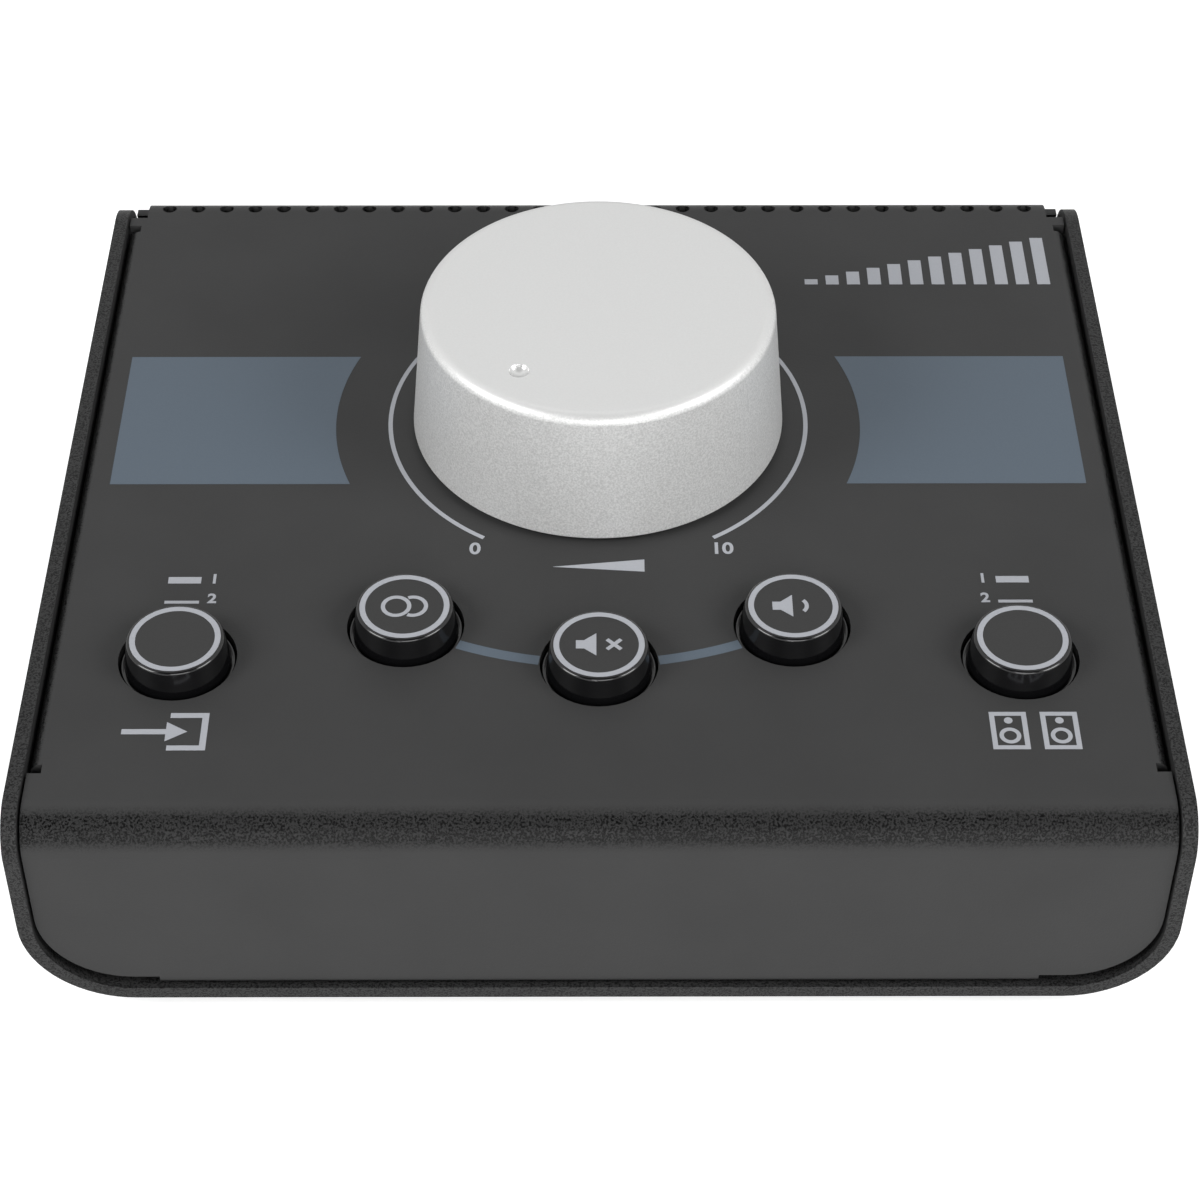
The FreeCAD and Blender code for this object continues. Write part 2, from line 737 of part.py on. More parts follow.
def return_spring(name, x, s):
    """A coil spring between the housing's floor and the plunger's collar."""
    body = panel_body(f"{name}_spring", x, s)
    wire, radius = dims.spring_wire / 2, dims.spring_radius
    height = COLLAR_LOW - HOUSING_FLOOR - dims.spring_wire
    sketch = new_sketch(body, "XZ_Plane", 0, [Circle(radius, HOUSING_FLOOR + wire, wire)], (0, 0), 0)
    coil = body.newObject("PartDesign::AdditiveHelix", f"{body.Name}_coil")
    coil.Profile = sketch
    coil.ReferenceAxis = (sketch, ["V_Axis"])
    coil.Mode = "height-turns-angle"
    bind(coil, "Height", height)
    bind(coil, "Turns", dims.spring_turns)
    work_out(coil)


def switch_housing(name, x, s):
    body = panel_body(f"{name}_switch", x, s)
    prism(body, "XY_Plane", BOARD_TOP, -dims.switch_head, square(as_size(0), as_size(0), dims.switch_width,
                                                               dims.switch_width))
    cut(body, "XY_Plane", HOUSING_FLOOR, ROOF_UNDER, Circle(0, 0, dims.switch_bore))
    cut(body, "XY_Plane", ROOF_UNDER, -dims.switch_head, Circle(0, 0, dims.plunger_radius + dims.pin_play))


# Control board

def switch_pins(radius):
    """The six terminals of every switch."""
    pitch = dims.pin_pitch
    return [
        Circle(x + across * pitch, s + back * pitch, radius)
        for x, s in BUTTONS.values() for across in (-1, 1) for back in (-1, 0, 1)
    ]


BOARD_HALF = INNER_HALF - dims.board_side_gap
BOARD_FRONT = FACE - dims.sheet - dims.board_front_gap
BOARD_REAR = dims.rear_reach - dims.board_rear_gap
STANDOFFS = grid(
    BOARD_HALF - dims.standoff_inset, dims.standoff_inset - BOARD_FRONT, BOARD_REAR - dims.standoff_inset
)
BOARD_LOW = BOARD_TOP - dims.board_thickness


def control_board():
    body = panel_body("control_board")
    half, play = BOARD_HALF, dims.board_play
    prism(body, "XY_Plane", BOARD_LOW, BOARD_TOP, rectangle(-half, half, -BOARD_FRONT, BOARD_REAR))
    well = square(as_size(0), as_size(0), dims.pot_width + 2 * play, dims.pot_depth + 2 * play)
    holes = [Circle(x, s, dims.screw_radius + dims.screw_play) for x, s in STANDOFFS]
    pins = switch_pins(dims.pin_radius + dims.pin_play)
    cut(body, "XY_Plane", BOARD_LOW, BOARD_TOP, well, *holes, *pins)
    prism(panel_body("switch_terminals"), "XY_Plane", BOARD_TOP - dims.pin_reach, BOARD_TOP,
          *switch_pins(dims.pin_radius))


def board_mounting():
    """Standoffs clinched under the panel, and the screws that hold the board to them."""
    posts = panel_body("board_standoffs")
    bodies = [hexagon(x, s, dims.standoff_flats) for x, s in STANDOFFS]
    prism(posts, "XY_Plane", BOARD_TOP, -dims.sheet, *bodies)
    shanks = [Circle(x, s, dims.screw_radius) for x, s in STANDOFFS]
    cut(posts, "XY_Plane", BOARD_TOP, BOARD_TOP + dims.standoff_thread, *shanks)
    screws = panel_body("board_screws")
    heads = [Circle(x, s, dims.screw_head_radius) for x, s in STANDOFFS]
    prism(screws, "XY_Plane", BOARD_LOW - dims.screw_head_height, BOARD_LOW, *heads)
    prism(screws, "XY_Plane", BOARD_LOW, BOARD_TOP + dims.standoff_thread, *shanks)


# Jacks: eight quarter-inch and one small one in a row through the rear face

JACK_PITCH = 2 * (CASE_HALF - dims.jack_margin) / SIZES["jack_count"]
JACK_WIDTH = JACK_PITCH - dims.jack_gap
MINI_X = dims.jack_margin - CASE_HALF
JACKS = [MINI_X + (place + 1) * JACK_PITCH for place in range(SIZES["jack_count"])]
JACK_FRONT = REAR_Y - dims.sheet
JACK_END = JACK_FRONT - dims.jack_depth
JACK_BOARD_FRONT = JACK_END - dims.board_thickness
JACK_NAMES = [
    f"{end}_{pair}_{hand}_jack"
    for end in ("monitor", "source") for pair in (1, 2) for hand in ("left", "right")
]


def jack(name, x):
    """A moulded jack with a threaded nose through the rear face and a blind bore for its plug."""
    body = new_body(name, x, REAR_Y, dims.jack_level)
    skin, width = dims.sheet, JACK_WIDTH
    end = -skin - dims.jack_depth
    prism(body, "XZ_Plane", end, -skin, square(as_size(0), as_size(0), width, width))
    prism(body, "XZ_Plane", -skin, dims.jack_nose, Circle(0, 0, dims.jack_thread_radius))
    cut(body, "XZ_Plane", end + dims.jack_floor, dims.jack_nose, Circle(0, 0, dims.jack_bore_radius))


def mini_jack():
    body = new_body("mini_jack", MINI_X, REAR_Y, dims.jack_level)
    skin, width = dims.sheet, dims.mini_width
    end = -skin - dims.mini_depth
    prism(body, "XZ_Plane", end, -skin, square(as_size(0), as_size(0), width, width))
    prism(body, "XZ_Plane", -skin, dims.mini_nose, Circle(0, 0, dims.mini_thread_radius))
    cut(body, "XZ_Plane", end + dims.jack_floor, dims.mini_nose, Circle(0, 0, dims.mini_bore_radius))
    nut = new_body("mini_jack_nut", MINI_X, REAR_Y, dims.jack_level)
    prism(nut, "XZ_Plane", 0, dims.mini_nut_height, hexagon(0, 0, dims.mini_nut_across),
          Circle(0, 0, dims.mini_thread_radius))
    leads = new_body("mini_jack_leads", 0, 0, dims.jack_level)
    wires = [Circle(MINI_X + side * dims.pin_pitch, 0, dims.pin_radius) for side in (-1, 0, 1)]
    prism(leads, "XZ_Plane", JACK_BOARD_FRONT - dims.jack_pin_reach / 2, REAR_Y + end, *wires)


def jack_fasteners():
    washers = new_body("jack_washers", 0, REAR_Y, dims.jack_level)
    nuts = new_body("jack_nuts", 0, REAR_Y, dims.jack_level)
    low = dims.jack_washer_height
    for x in JACKS:
        hole = Circle(x, 0, dims.jack_thread_radius)
        prism(washers, "XZ_Plane", 0, low, Circle(x, 0, dims.jack_washer_radius), hole)
        prism(nuts, "XZ_Plane", low, low + dims.jack_nut_height, hexagon(x, 0, dims.jack_nut_across), hole)


def jack_board():
    """An upright board across the jacks' inner ends, with three terminals from each jack soldered in."""
    level, spread = dims.jack_level, dims.jack_pin_spread
    pins = [(x + side * spread, level - spread) for x in JACKS for side in (-1, 0, 1)]
    leads = [(MINI_X + side * dims.pin_pitch, level) for side in (-1, 0, 1)]
    body = new_body("jack_board")
    half = INNER_HALF - dims.jack_board_gap
    outline = rectangle(-half, half, dims.jack_board_low, dims.jack_board_high)
    prism(body, "XZ_Plane", JACK_BOARD_FRONT, JACK_END, outline)
    holes = [Circle(x, height, dims.jack_pin_radius + dims.pin_play) for x, height in pins]
    holes += [Circle(x, height, dims.pin_radius + dims.pin_play) for x, height in leads]
    cut(body, "XZ_Plane", JACK_BOARD_FRONT, JACK_END, *holes)
    terminals = new_body("jack_terminals")
    posts = [Circle(x, height, dims.jack_pin_radius) for x, height in pins]
    prism(terminals, "XZ_Plane", JACK_END - dims.jack_pin_reach, JACK_END, *posts)


def ribbon():
    """A header on each board and the flat cable between them."""
    x, half = dims.ribbon_across, dims.header_width / 2
    s, breadth, depth = BOARD_REAR - dims.header_inset, dims.header_breadth / 2, dims.header_depth
    low = BOARD_LOW - depth
    control = panel_body("control_header")
    prism(control, "XY_Plane", low, BOARD_LOW, rectangle(x - half, x + half, s - breadth, s + breadth))
    level, plug = dims.ribbon_level, JACK_BOARD_FRONT - depth
    header = new_body("jack_header")
    outline = rectangle(x - half, x + half, level - breadth, level + breadth)
    prism(header, "XZ_Plane", plug, JACK_BOARD_FRONT, outline)
    body = new_body("ribbon_cable")
    skin, half = dims.ribbon_thickness / 2, dims.ribbon_width / 2
    inner, outer = at_height(s + skin, level + skin), at_height(s - skin, level - skin)
    path = [
        world(s - skin, low), outer, (plug, level - skin), (plug, level + skin), inner, world(s + skin, low),
    ]
    prism(body, "YZ_Plane", x - half, x + half, path)
    dress(body, "Fillet", dims.ribbon_bend, lines_along_x(inner))
    dress(body, "Fillet", dims.ribbon_bend + dims.ribbon_thickness, lines_along_x(outer))


# The whole controller

base_chassis()
top_cover()
case_screws()
feet()
volume_knob()
potentiometer()
for button, (across, back) in BUTTONS.items():
    button_cap(button, across, back)
    plunger(button, across, back)
    return_spring(button, across, back)
    switch_housing(button, across, back)
control_board()
board_mounting()
for jack_name, jack_x in zip(JACK_NAMES, JACKS):
    jack(jack_name, jack_x)
mini_jack()
jack_fasteners()
jack_board()
ribbon()
doc.recompute()

for thing in doc.Objects:
    if "Invalid" in thing.State or "Error" in thing.State:
        raise RuntimeError(f"{thing.Label} failed: {thing.State}")
for piece in PIECES:
    if piece.Shape.isNull() or not piece.Shape.isValid() or not piece.Shape.Solids:
        raise RuntimeError(f"{piece.Label} has no sound shape")

os.makedirs("parts", exist_ok=True)
for piece in PIECES:
    piece.Shape.exportStep(f"parts/{piece.Label}.step")
    box = piece.Shape.optimalBoundingBox()
    spans = (("x", box.XMin, box.XMax), ("y", box.YMin, box.YMax), ("z", box.ZMin, box.ZMax))
    places = "  ".join(f"{axis} {low:.2f} {high:.2f}" for axis, low, high in spans)
    print(f"{piece.Label:24} {len(piece.Shape.Solids)} solids, {piece.Shape.Volume:9.1f} mm3, {places}")
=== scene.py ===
"""Studio monitor controller: a wedge of folded, powder-coated steel with a turned aluminium volume knob.

Metres, +X to the right, +Y to the rear jacks, +Z up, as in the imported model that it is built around.
"""
import json
import math

import bmesh
import bpy
from mathutils import Matrix, Vector


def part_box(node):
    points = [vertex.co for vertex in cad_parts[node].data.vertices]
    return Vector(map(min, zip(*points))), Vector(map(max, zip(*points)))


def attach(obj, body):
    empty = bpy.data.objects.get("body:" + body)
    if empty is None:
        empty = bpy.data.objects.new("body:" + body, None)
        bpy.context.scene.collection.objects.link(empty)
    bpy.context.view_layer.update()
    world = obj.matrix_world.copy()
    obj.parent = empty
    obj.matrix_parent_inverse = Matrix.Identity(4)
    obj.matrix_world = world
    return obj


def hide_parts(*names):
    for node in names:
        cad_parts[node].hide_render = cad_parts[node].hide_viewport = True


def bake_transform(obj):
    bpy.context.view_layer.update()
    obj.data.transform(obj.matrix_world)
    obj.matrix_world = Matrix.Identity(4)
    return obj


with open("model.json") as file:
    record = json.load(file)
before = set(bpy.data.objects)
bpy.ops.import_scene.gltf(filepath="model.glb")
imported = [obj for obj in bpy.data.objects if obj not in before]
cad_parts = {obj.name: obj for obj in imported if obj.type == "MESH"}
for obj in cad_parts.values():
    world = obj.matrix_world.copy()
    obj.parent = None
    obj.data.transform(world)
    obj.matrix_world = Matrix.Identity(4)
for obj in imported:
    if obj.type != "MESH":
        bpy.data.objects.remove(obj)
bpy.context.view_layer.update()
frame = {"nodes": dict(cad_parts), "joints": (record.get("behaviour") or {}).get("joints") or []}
nodes = frame["nodes"]
MM = 0.001

# Panel
# The sloping face that carries everything. Its slope and the knob's centre come from the volume knob's joint:
# s runs along the panel to the rear, n out of it. The buttons are placed from the knob's centre too.
knob_turn = [joint for joint in frame["joints"] if joint["name"] == "volume_turn"][0]
SLOPE = math.atan2(knob_turn["axis"][1], -knob_turn["axis"][2])
PANEL = Matrix.Translation(knob_turn["pos_m"]) @ Matrix.Rotation(SLOPE, 4, "X")
BUTTONS = {"mono": (-28.9, -47.7), "mute": (0.0, -55.8), "dim": (28.9, -47.7), "source": (-62.3, -54.5),
           "monitor": (62.3, -54.5)}


def on_panel(x, s, n=0.0):
    """The place of a point given in millimetres on the panel."""
    return PANEL @ Vector((x * MM, s * MM, n * MM))


# Camera
# A long lens in front of and above the desk, fitted to the edges, holes and rings of the photograph.
CAMERA_PLACE = (-1.18, -358.57, 304.19)
CAMERA_PITCH, CAMERA_YAW, CAMERA_ROLL = 43.878, 0.178, -0.074
FOCAL_PIXELS, FRAME_PIXELS = 2907.1, 1200
camera = bpy.data.objects.new("camera", bpy.data.cameras.new("camera"))
bpy.context.scene.collection.objects.link(camera)
bpy.context.scene.camera = camera
camera.data.sensor_width = 36
camera.data.lens = camera.data.sensor_width * FOCAL_PIXELS / FRAME_PIXELS
camera.data.clip_start = 0.01
camera.matrix_world = (
    Matrix.Translation(on_panel(*CAMERA_PLACE))
    @ Matrix.Rotation(SLOPE + math.radians(90 - CAMERA_PITCH), 4, "X")
    @ Matrix.Rotation(math.radians(-CAMERA_YAW), 4, "Y")
    @ Matrix.Rotation(math.radians(CAMERA_ROLL), 4, "Z")
)


# Floor and light
# A pale sweep under soft boxes. The floor and the world show white to the camera and to reflections, and the
# room behind the camera is dark.
def linear(colour):
    """An sRGB hex colour as linear red, green, blue and alpha."""
    levels = [int(colour[place:place + 2], 16) / 255 for place in (1, 3, 5)]
    straight = [level / 12.92 if level <= 0.04045 else ((level + 0.055) / 1.055) ** 2.4 for level in levels]
    return straight + [1.0]


def add(tree, kind, settings=(), links=()):
    """A node with its settings, by socket or property name, and its input links."""
    node = tree.nodes.new(kind)
    for name, value in dict(settings).items():
        if isinstance(name, str) and hasattr(node, name):
            setattr(node, name, value)
        else:
            node.inputs[name].default_value = value
    for name, source in dict(links).items():
        tree.links.new(source, node.inputs[name])
    return node


def new_material(name):
    """A material with its node tree cleared down to the output."""
    material = bpy.data.materials.new(name)
    material.use_nodes = True
    tree = material.node_tree
    tree.nodes.clear()
    return material, tree


def shade(tree, shader):
    """End a material's tree in this shader."""
    add(tree, "ShaderNodeOutputMaterial", links={"Surface": shader.outputs[0]})


FLOOR_SIDE, FLOOR_GLOW = 6.0, 0.70
floor_paint, tree = new_material("pale_sweep")
ray = add(tree, "ShaderNodeLightPath")
either = add(tree, "ShaderNodeMath", {"operation": "MAXIMUM"},
             {0: ray.outputs["Is Camera Ray"], 1: ray.outputs["Is Glossy Ray"]})
matte = add(tree, "ShaderNodeBsdfDiffuse", {"Color": linear("#d4d4d4")})
white = add(tree, "ShaderNodeEmission", {"Color": linear("#ffffff"), "Strength": FLOOR_GLOW})
lit = add(tree, "ShaderNodeAddShader", links={0: matte.outputs[0], 1: white.outputs[0]})
seen = add(tree, "ShaderNodeMixShader",
           links={0: either.outputs[0], 1: matte.outputs[0], 2: lit.outputs[0]})
shade(tree, seen)
bpy.ops.mesh.primitive_plane_add(size=FLOOR_SIDE)
floor = bpy.context.object
floor.name = "floor"
floor.data.materials.append(floor_paint)

TOWARDS_USER, DUSK_START, DUSK_END, DARK_ROOM, FILL = (0.0, -0.6, 0.8), 0.68, 0.86, 0.06, 0.35
world = bpy.data.worlds.new("studio")
bpy.context.scene.world = world
world.use_nodes = True
tree = world.node_tree
tree.nodes.clear()
ray = add(tree, "ShaderNodeLightPath")
either = add(tree, "ShaderNodeMath", {"operation": "MAXIMUM"},
             {0: ray.outputs["Is Camera Ray"], 1: ray.outputs["Is Glossy Ray"]})
sight = add(tree, "ShaderNodeTexCoord").outputs["Generated"]
to_user = add(tree, "ShaderNodeVectorMath", {"operation": "DOT_PRODUCT"}, {0: sight})
to_user.inputs[1].default_value = TOWARDS_USER
dusk = add(tree, "ShaderNodeMapRange",
           {"From Min": DUSK_START, "From Max": DUSK_END, "To Min": 1.0, "To Max": DARK_ROOM},
           {"Value": to_user.outputs["Value"]})
glow = add(tree, "ShaderNodeMath", {"operation": "MAXIMUM"},
           {0: ray.outputs["Is Camera Ray"], 1: dusk.outputs["Result"]})
dim = add(tree, "ShaderNodeBackground", {"Color": linear("#e6e8ea"), "Strength": FILL})
bright = add(tree, "ShaderNodeBackground", {"Color": linear("#ffffff")}, {"Strength": glow.outputs[0]})
sky = add(tree, "ShaderNodeMixShader", links={0: either.outputs[0], 1: dim.outputs[0], 2: bright.outputs[0]})
add(tree, "ShaderNodeOutputWorld", links={"Surface": sky.outputs[0]})
bpy.context.scene.view_settings.view_transform = "Standard"

LAMP_AIM = Vector((0, 0, 0.03))
for name, place, size, watts in (
    ("soft_box_left", (-0.75, -0.42, 0.55), 0.5, 6.6),
    ("soft_box_right", (0.75, -0.42, 0.55), 0.5, 6.2),
    ("soft_box_front", (0.10, -1.00, 0.22), 0.7, 5.3),
):
    lamp = bpy.data.lights.new(name, "AREA")
    lamp.size = size
    lamp.energy = watts
    lamp_object = bpy.data.objects.new(name, lamp)
    bpy.context.scene.collection.objects.link(lamp_object)
    lamp_object.location = place
    lamp_object.rotation_euler = (LAMP_AIM - Vector(place)).to_track_quat("-Z", "Y").to_euler()


# Chassis and cover
# Two sheets of steel, folded and powder-coated in dark grey. The coat is a baked fine-texture powder. On the
# flats it lies smooth; over the folds and cut edges it stands up in grains about 0.3 mm across.
# Over the folds the coat's colour is also darkened, most in the pits of the grain: painted shade.
GRAIN, CLOUD = 0.32 * MM, 16 * MM
FLAT_FACING, FOLD_FACING = 0.985, 0.88
PANEL_NORMAL = PANEL.to_3x3() @ Vector((0, 0, 1))
PANEL_REARWARD = PANEL.to_3x3() @ Vector((0, 1, 0))
SIDEWAYS = Vector((1, 0, 0))


def facing(tree, direction):
    """How squarely the surface faces along a direction, forwards or backwards, from 0 to 1."""
    normal = add(tree, "ShaderNodeTexCoord").outputs["Normal"]
    along = add(tree, "ShaderNodeVectorMath", {"operation": "DOT_PRODUCT"}, {0: normal})
    along.inputs[1].default_value = direction
    return add(tree, "ShaderNodeMath", {"operation": "ABSOLUTE"}, {0: along.outputs["Value"]}).outputs[0]


def powder_coat(name, colours, flats, edge_shade, edge_bump, edge_rough):
    """Smooth where it faces along a flat; grainy where it turns away, with painted shade in the pits."""
    material, tree = new_material(name)
    place = add(tree, "ShaderNodeTexCoord").outputs["Object"]
    grains = add(tree, "ShaderNodeTexNoise", {"Scale": 1 / GRAIN, "Detail": 2.0, "Roughness": 0.6},
                 {"Vector": place}).outputs["Fac"]
    clouds = add(tree, "ShaderNodeTexNoise", {"Scale": 1 / CLOUD, "Detail": 3.0}, {"Vector": place})
    squarest = facing(tree, flats[0])
    for direction in flats[1:]:
        other = facing(tree, direction)
        squarest = add(tree, "ShaderNodeMath", {"operation": "MAXIMUM"}, {0: squarest, 1: other}).outputs[0]
    edge = add(tree, "ShaderNodeMapRange", {"From Min": FLAT_FACING, "From Max": FOLD_FACING},
               {"Value": squarest}).outputs["Result"]

    tone = add(tree, "ShaderNodeValToRGB", links={"Fac": clouds.outputs["Fac"]})
    for stop, position, colour in zip(tone.color_ramp.elements, (0.3, 0.7), colours):
        stop.position = position
        stop.color = linear(colour)
    crumbs = add(tree, "ShaderNodeMapRange", {"From Min": 0.42, "From Max": 0.57},
                 {"Value": grains}).outputs["Result"]
    # Painted shade: off the flats the colour darkens in the grain's pits (the chassis' crests go lighter).
    pit, crest = edge_shade
    painted_pit_shade = add(tree, "ShaderNodeMapRange", {"To Min": pit, "To Max": crest},
               {"Value": crumbs}).outputs["Result"]
    shadow = add(tree, "ShaderNodeMix", {"data_type": "FLOAT", "A": 1.0}, {"Factor": edge, "B": painted_pit_shade})
    colour = add(tree, "ShaderNodeVectorMath", {"operation": "SCALE"},
                 {0: tone.outputs["Color"], "Scale": shadow.outputs["Result"]})
    smooth = add(tree, "ShaderNodeMapRange", {"To Min": 0.44, "To Max": 0.60},
                 {"Value": grains}).outputs["Result"]
    rough = add(tree, "ShaderNodeMix", {"data_type": "FLOAT", "B": edge_rough}, {"Factor": edge, "A": smooth})
    height = add(tree, "ShaderNodeMapRange", {"To Min": 0.10, "To Max": edge_bump},
                 {"Value": edge}).outputs["Result"]
    height = add(tree, "ShaderNodeMath", {"operation": "MULTIPLY"}, {0: crumbs, 1: height})
    bump = add(tree, "ShaderNodeBump", {"Strength": 1.0, "Distance": 0.05 * MM},
               {"Height": height.outputs[0]})
    coat = add(tree, "ShaderNodeBsdfPrincipled", {"IOR": 1.5, "Specular IOR Level": 0.15}, {
        "Base Color": colour.outputs["Vector"], "Roughness": rough.outputs["Result"],
        "Normal": bump.outputs["Normal"],
    })
    shade(tree, coat)
    return material


def dress(material, *names):
    """Give CAD nodes a material."""
    for name in names:
        mesh = nodes[name].data
        mesh.materials.clear()
        mesh.materials.append(material)


cover_coat = powder_coat("dark_grey_powder_coat", ("#363636", "#393939"),
                         (PANEL_NORMAL, PANEL_REARWARD, SIDEWAYS), (0.0, 0.62), 1.6, 0.30)
chassis_coat = powder_coat("dark_grey_powder_coat_on_cut_edges", ("#2c2c2c", "#2f2f2f"),
                           (SIDEWAYS,), (0.25, 1.3), 0.9, 0.46)
dress(cover_coat, "top_cover")
dress(chassis_coat, "base_chassis")

# Printed marks
# Screen-printed epoxy ink on the cover, a few hundredths of a millimetre proud: two slate-blue panels beside
# the knob, a slate-blue stripe through the three middle buttons, and light grey lines.
INK_PROUD, INK_SUNK = 0.03, 0.05
ARC_STEP = math.radians(1.5)


def printing_ink(name, colour):
    """A matt ink between two colours, with the fine print of the screen's mesh in it."""
    material, tree = new_material(name)
    place = add(tree, "ShaderNodeTexCoord").outputs["Object"]
    mesh_marks = add(tree, "ShaderNodeTexNoise", {"Scale": 1 / GRAIN, "Detail": 2.0}, {"Vector": place})
    bump = add(tree, "ShaderNodeBump", {"Strength": 1.0, "Distance": 0.01 * MM},
               {"Height": mesh_marks.outputs["Fac"]})
    tone = add(tree, "ShaderNodeMix", {"data_type": "RGBA"}, {"Factor": mesh_marks.outputs["Fac"]})
    tone.inputs["A"].default_value = linear(colour[0])
    tone.inputs["B"].default_value = linear(colour[1])
    ink = add(tree, "ShaderNodeBsdfPrincipled", {"Roughness": 0.55, "IOR": 1.5}, {
        "Base Color": tone.outputs["Result"], "Normal": bump.outputs["Normal"],
    })
    shade(tree, ink)
    return material


slate_ink = printing_ink("slate_blue_epoxy_ink", ("#4b5661", "#515c67"))
grey_ink = printing_ink("light_grey_epoxy_ink", ("#9b9da3", "#a4a6ab"))


def printed(name, outlines, ink, body="case", height=0.0, centre=(0.0, 0.0)):
    """Thin solids of ink from outlines in millimetres round a point of the panel."""
    work = bmesh.new()
    for outline in outlines:
        corners = [work.verts.new((x, s, -INK_SUNK)) for x, s in outline]
        sheet = work.faces.new(corners)
        raised = bmesh.ops.extrude_face_region(work, geom=[sheet])
        tops = [part for part in raised["geom"] if isinstance(part, bmesh.types.BMVert)]
        bmesh.ops.translate(work, verts=tops, vec=(0, 0, INK_PROUD + INK_SUNK))
    bmesh.ops.recalc_face_normals(work, faces=work.faces)
    work.transform(Matrix.Scale(MM, 4))
    mesh = bpy.data.meshes.new(name)
    work.to_mesh(mesh)
    work.free()
    return finish_print(name, mesh, ink, body, height, centre)


def finish_print(name, mesh, ink, body, height, centre):
    """Put a print on the panel in its ink, and let it ride on its body."""
    mesh.transform(PANEL @ Matrix.Translation((centre[0] * MM, centre[1] * MM, height * MM)))
    mesh.materials.clear()
    mesh.materials.append(ink)
    piece = bpy.data.objects.new(name, mesh)
    bpy.context.scene.collection.objects.link(piece)
    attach(piece, body)
    return piece


def arc(radius, start, end, centre=(0.0, 0.0)):
    """Points along an arc; angles in radians run clockwise from the side nearest the user."""
    steps = max(2, math.ceil(abs(end - start) / ARC_STEP))
    turns = [start + (end - start) * step / steps for step in range(steps + 1)]
    return [(centre[0] - radius * math.sin(turn), centre[1] - radius * math.cos(turn)) for turn in turns]


def band(radius, width, start, end, pieces=1, centre=(0.0, 0.0)):
    """A curved strip, cut into pieces so that each outline stays simple."""
    strips = []
    for piece in range(pieces):
        low = start + (end - start) * piece / pieces
        high = start + (end - start) * (piece + 1) / pieces
        outer = arc(radius + width / 2, low, high, centre)
        inner = arc(radius - width / 2, high, low, centre)
        strips.append(outer + inner)
    return strips


def bar(x_low, x_high, s_low, s_high):
    """A rectangle as one outline."""
    return [(x_low, s_low), (x_high, s_low), (x_high, s_high), (x_low, s_high)]


PANEL_OUTER, PANEL_HALF, PANEL_HOLLOW = 76.9, 15.8, 42.2
reach = math.asin(PANEL_HALF / PANEL_HOLLOW)
blocks = []
for side in (-1, 1):
    hollow = arc(PANEL_HOLLOW, math.pi / 2 - reach, math.pi / 2 + reach)
    hollow = [(side * abs(x), s) for x, s in hollow]
    blocks.append(hollow + [(side * PANEL_OUTER, PANEL_HALF), (side * PANEL_OUTER, -PANEL_HALF)])
printed("slate_panels", blocks, slate_ink)

HOLE_RADIUS, STRIPE_RADIUS, STRIPE_WIDTH, STRIPE_CLEAR = 8.79, 55.8, 1.8, 0.1
dim_x, dim_s = BUTTONS["dim"]
near = 2 * math.asin((HOLE_RADIUS + STRIPE_CLEAR) / 2 / STRIPE_RADIUS)
far = math.atan2(dim_x, -dim_s) - near
stripe = []
for side in (-1, 1):
    stripe += band(STRIPE_RADIUS, STRIPE_WIDTH, side * near, side * far)
printed("slate_stripe", stripe, slate_ink)

DIAL_RADIUS, DIAL_LINE, DIAL_GAP = 33.44, 0.7, math.radians(32)
printed("dial_line", band(DIAL_RADIUS, DIAL_LINE, DIAL_GAP, 2 * math.pi - DIAL_GAP, 6), grey_ink)


SIZE_PER_HEIGHT = 1.4


def lettered(name, text, height_mm, x, s, body="case", height=0.0, bold=0.0):
    """A number as a thin solid of grey ink, centred on a point of the panel."""
    curve = bpy.data.curves.new(name, "FONT")
    curve.body = text
    curve.size = height_mm * MM * SIZE_PER_HEIGHT
    curve.offset = bold * MM
    curve.align_x, curve.align_y = "CENTER", "CENTER"
    curve.extrude = (INK_PROUD + INK_SUNK) / 2 * MM
    letters = bpy.data.objects.new(name, curve)
    bpy.context.scene.collection.objects.link(letters)
    bpy.context.view_layer.update()
    mesh = bpy.data.meshes.new_from_object(letters.evaluated_get(bpy.context.evaluated_depsgraph_get()))
    mesh.name = name
    bpy.data.objects.remove(letters)
    mesh.transform(Matrix.Translation((0, 0, (INK_PROUD - INK_SUNK) / 2 * MM)))
    return finish_print(name, mesh, grey_ink, body, height, (x, s))


DIAL_FIGURE, DIAL_ASIDE, DIAL_FOOT, DIAL_BOLD = 2.5, 19.0, -30.9, 0.09
VOLUME_WEDGE = [(-7, -34.9), (7, -36.0), (7, -33.3)]
lettered("dial_zero", "0", DIAL_FIGURE, -DIAL_ASIDE, DIAL_FOOT, bold=DIAL_BOLD)
lettered("dial_ten", "10", DIAL_FIGURE, DIAL_ASIDE, DIAL_FOOT, bold=DIAL_BOLD)
printed("volume_wedge", [VOLUME_WEDGE], grey_ink)

# Marks beside the two outer buttons
# A thick bar numbered 1 for the raised button and a thin one numbered 2 for the pressed button. Below each
# button is what it switches: an arrow into a box for the sources, two loudspeaker cabinets for the monitors.
SELECT_ACROSS, SELECT_LABEL = 62.9, -69.5
THICK_HALF, THICK_NEAR, THICK_FAR = 2.5, -38.5, -37.1
THIN_HALF, THIN_NEAR, THIN_FAR = 2.6, -42.9, -42.3
NUMBER_TALL, NUMBER_BOLD, NUMBER_ASIDE, ONE_PLACE, TWO_PLACE = 2.0, 0.08, 4.5, -37.6, -41.9
CABINET_HALF, CABINET_TALL, CABINET_LINE, CABINET_ASIDE = 2.7, 3.7, 0.75, 3.7
TWEETER_RADIUS, TWEETER_UP, CONE_RADIUS, CONE_LINE, CONE_DOWN = 0.62, 2.0, 1.25, 0.62, 1.0


def shifted(outlines, x, s):
    """The same outlines, moved along the panel."""
    return [[(corner[0] + x, corner[1] + s) for corner in outline] for outline in outlines]


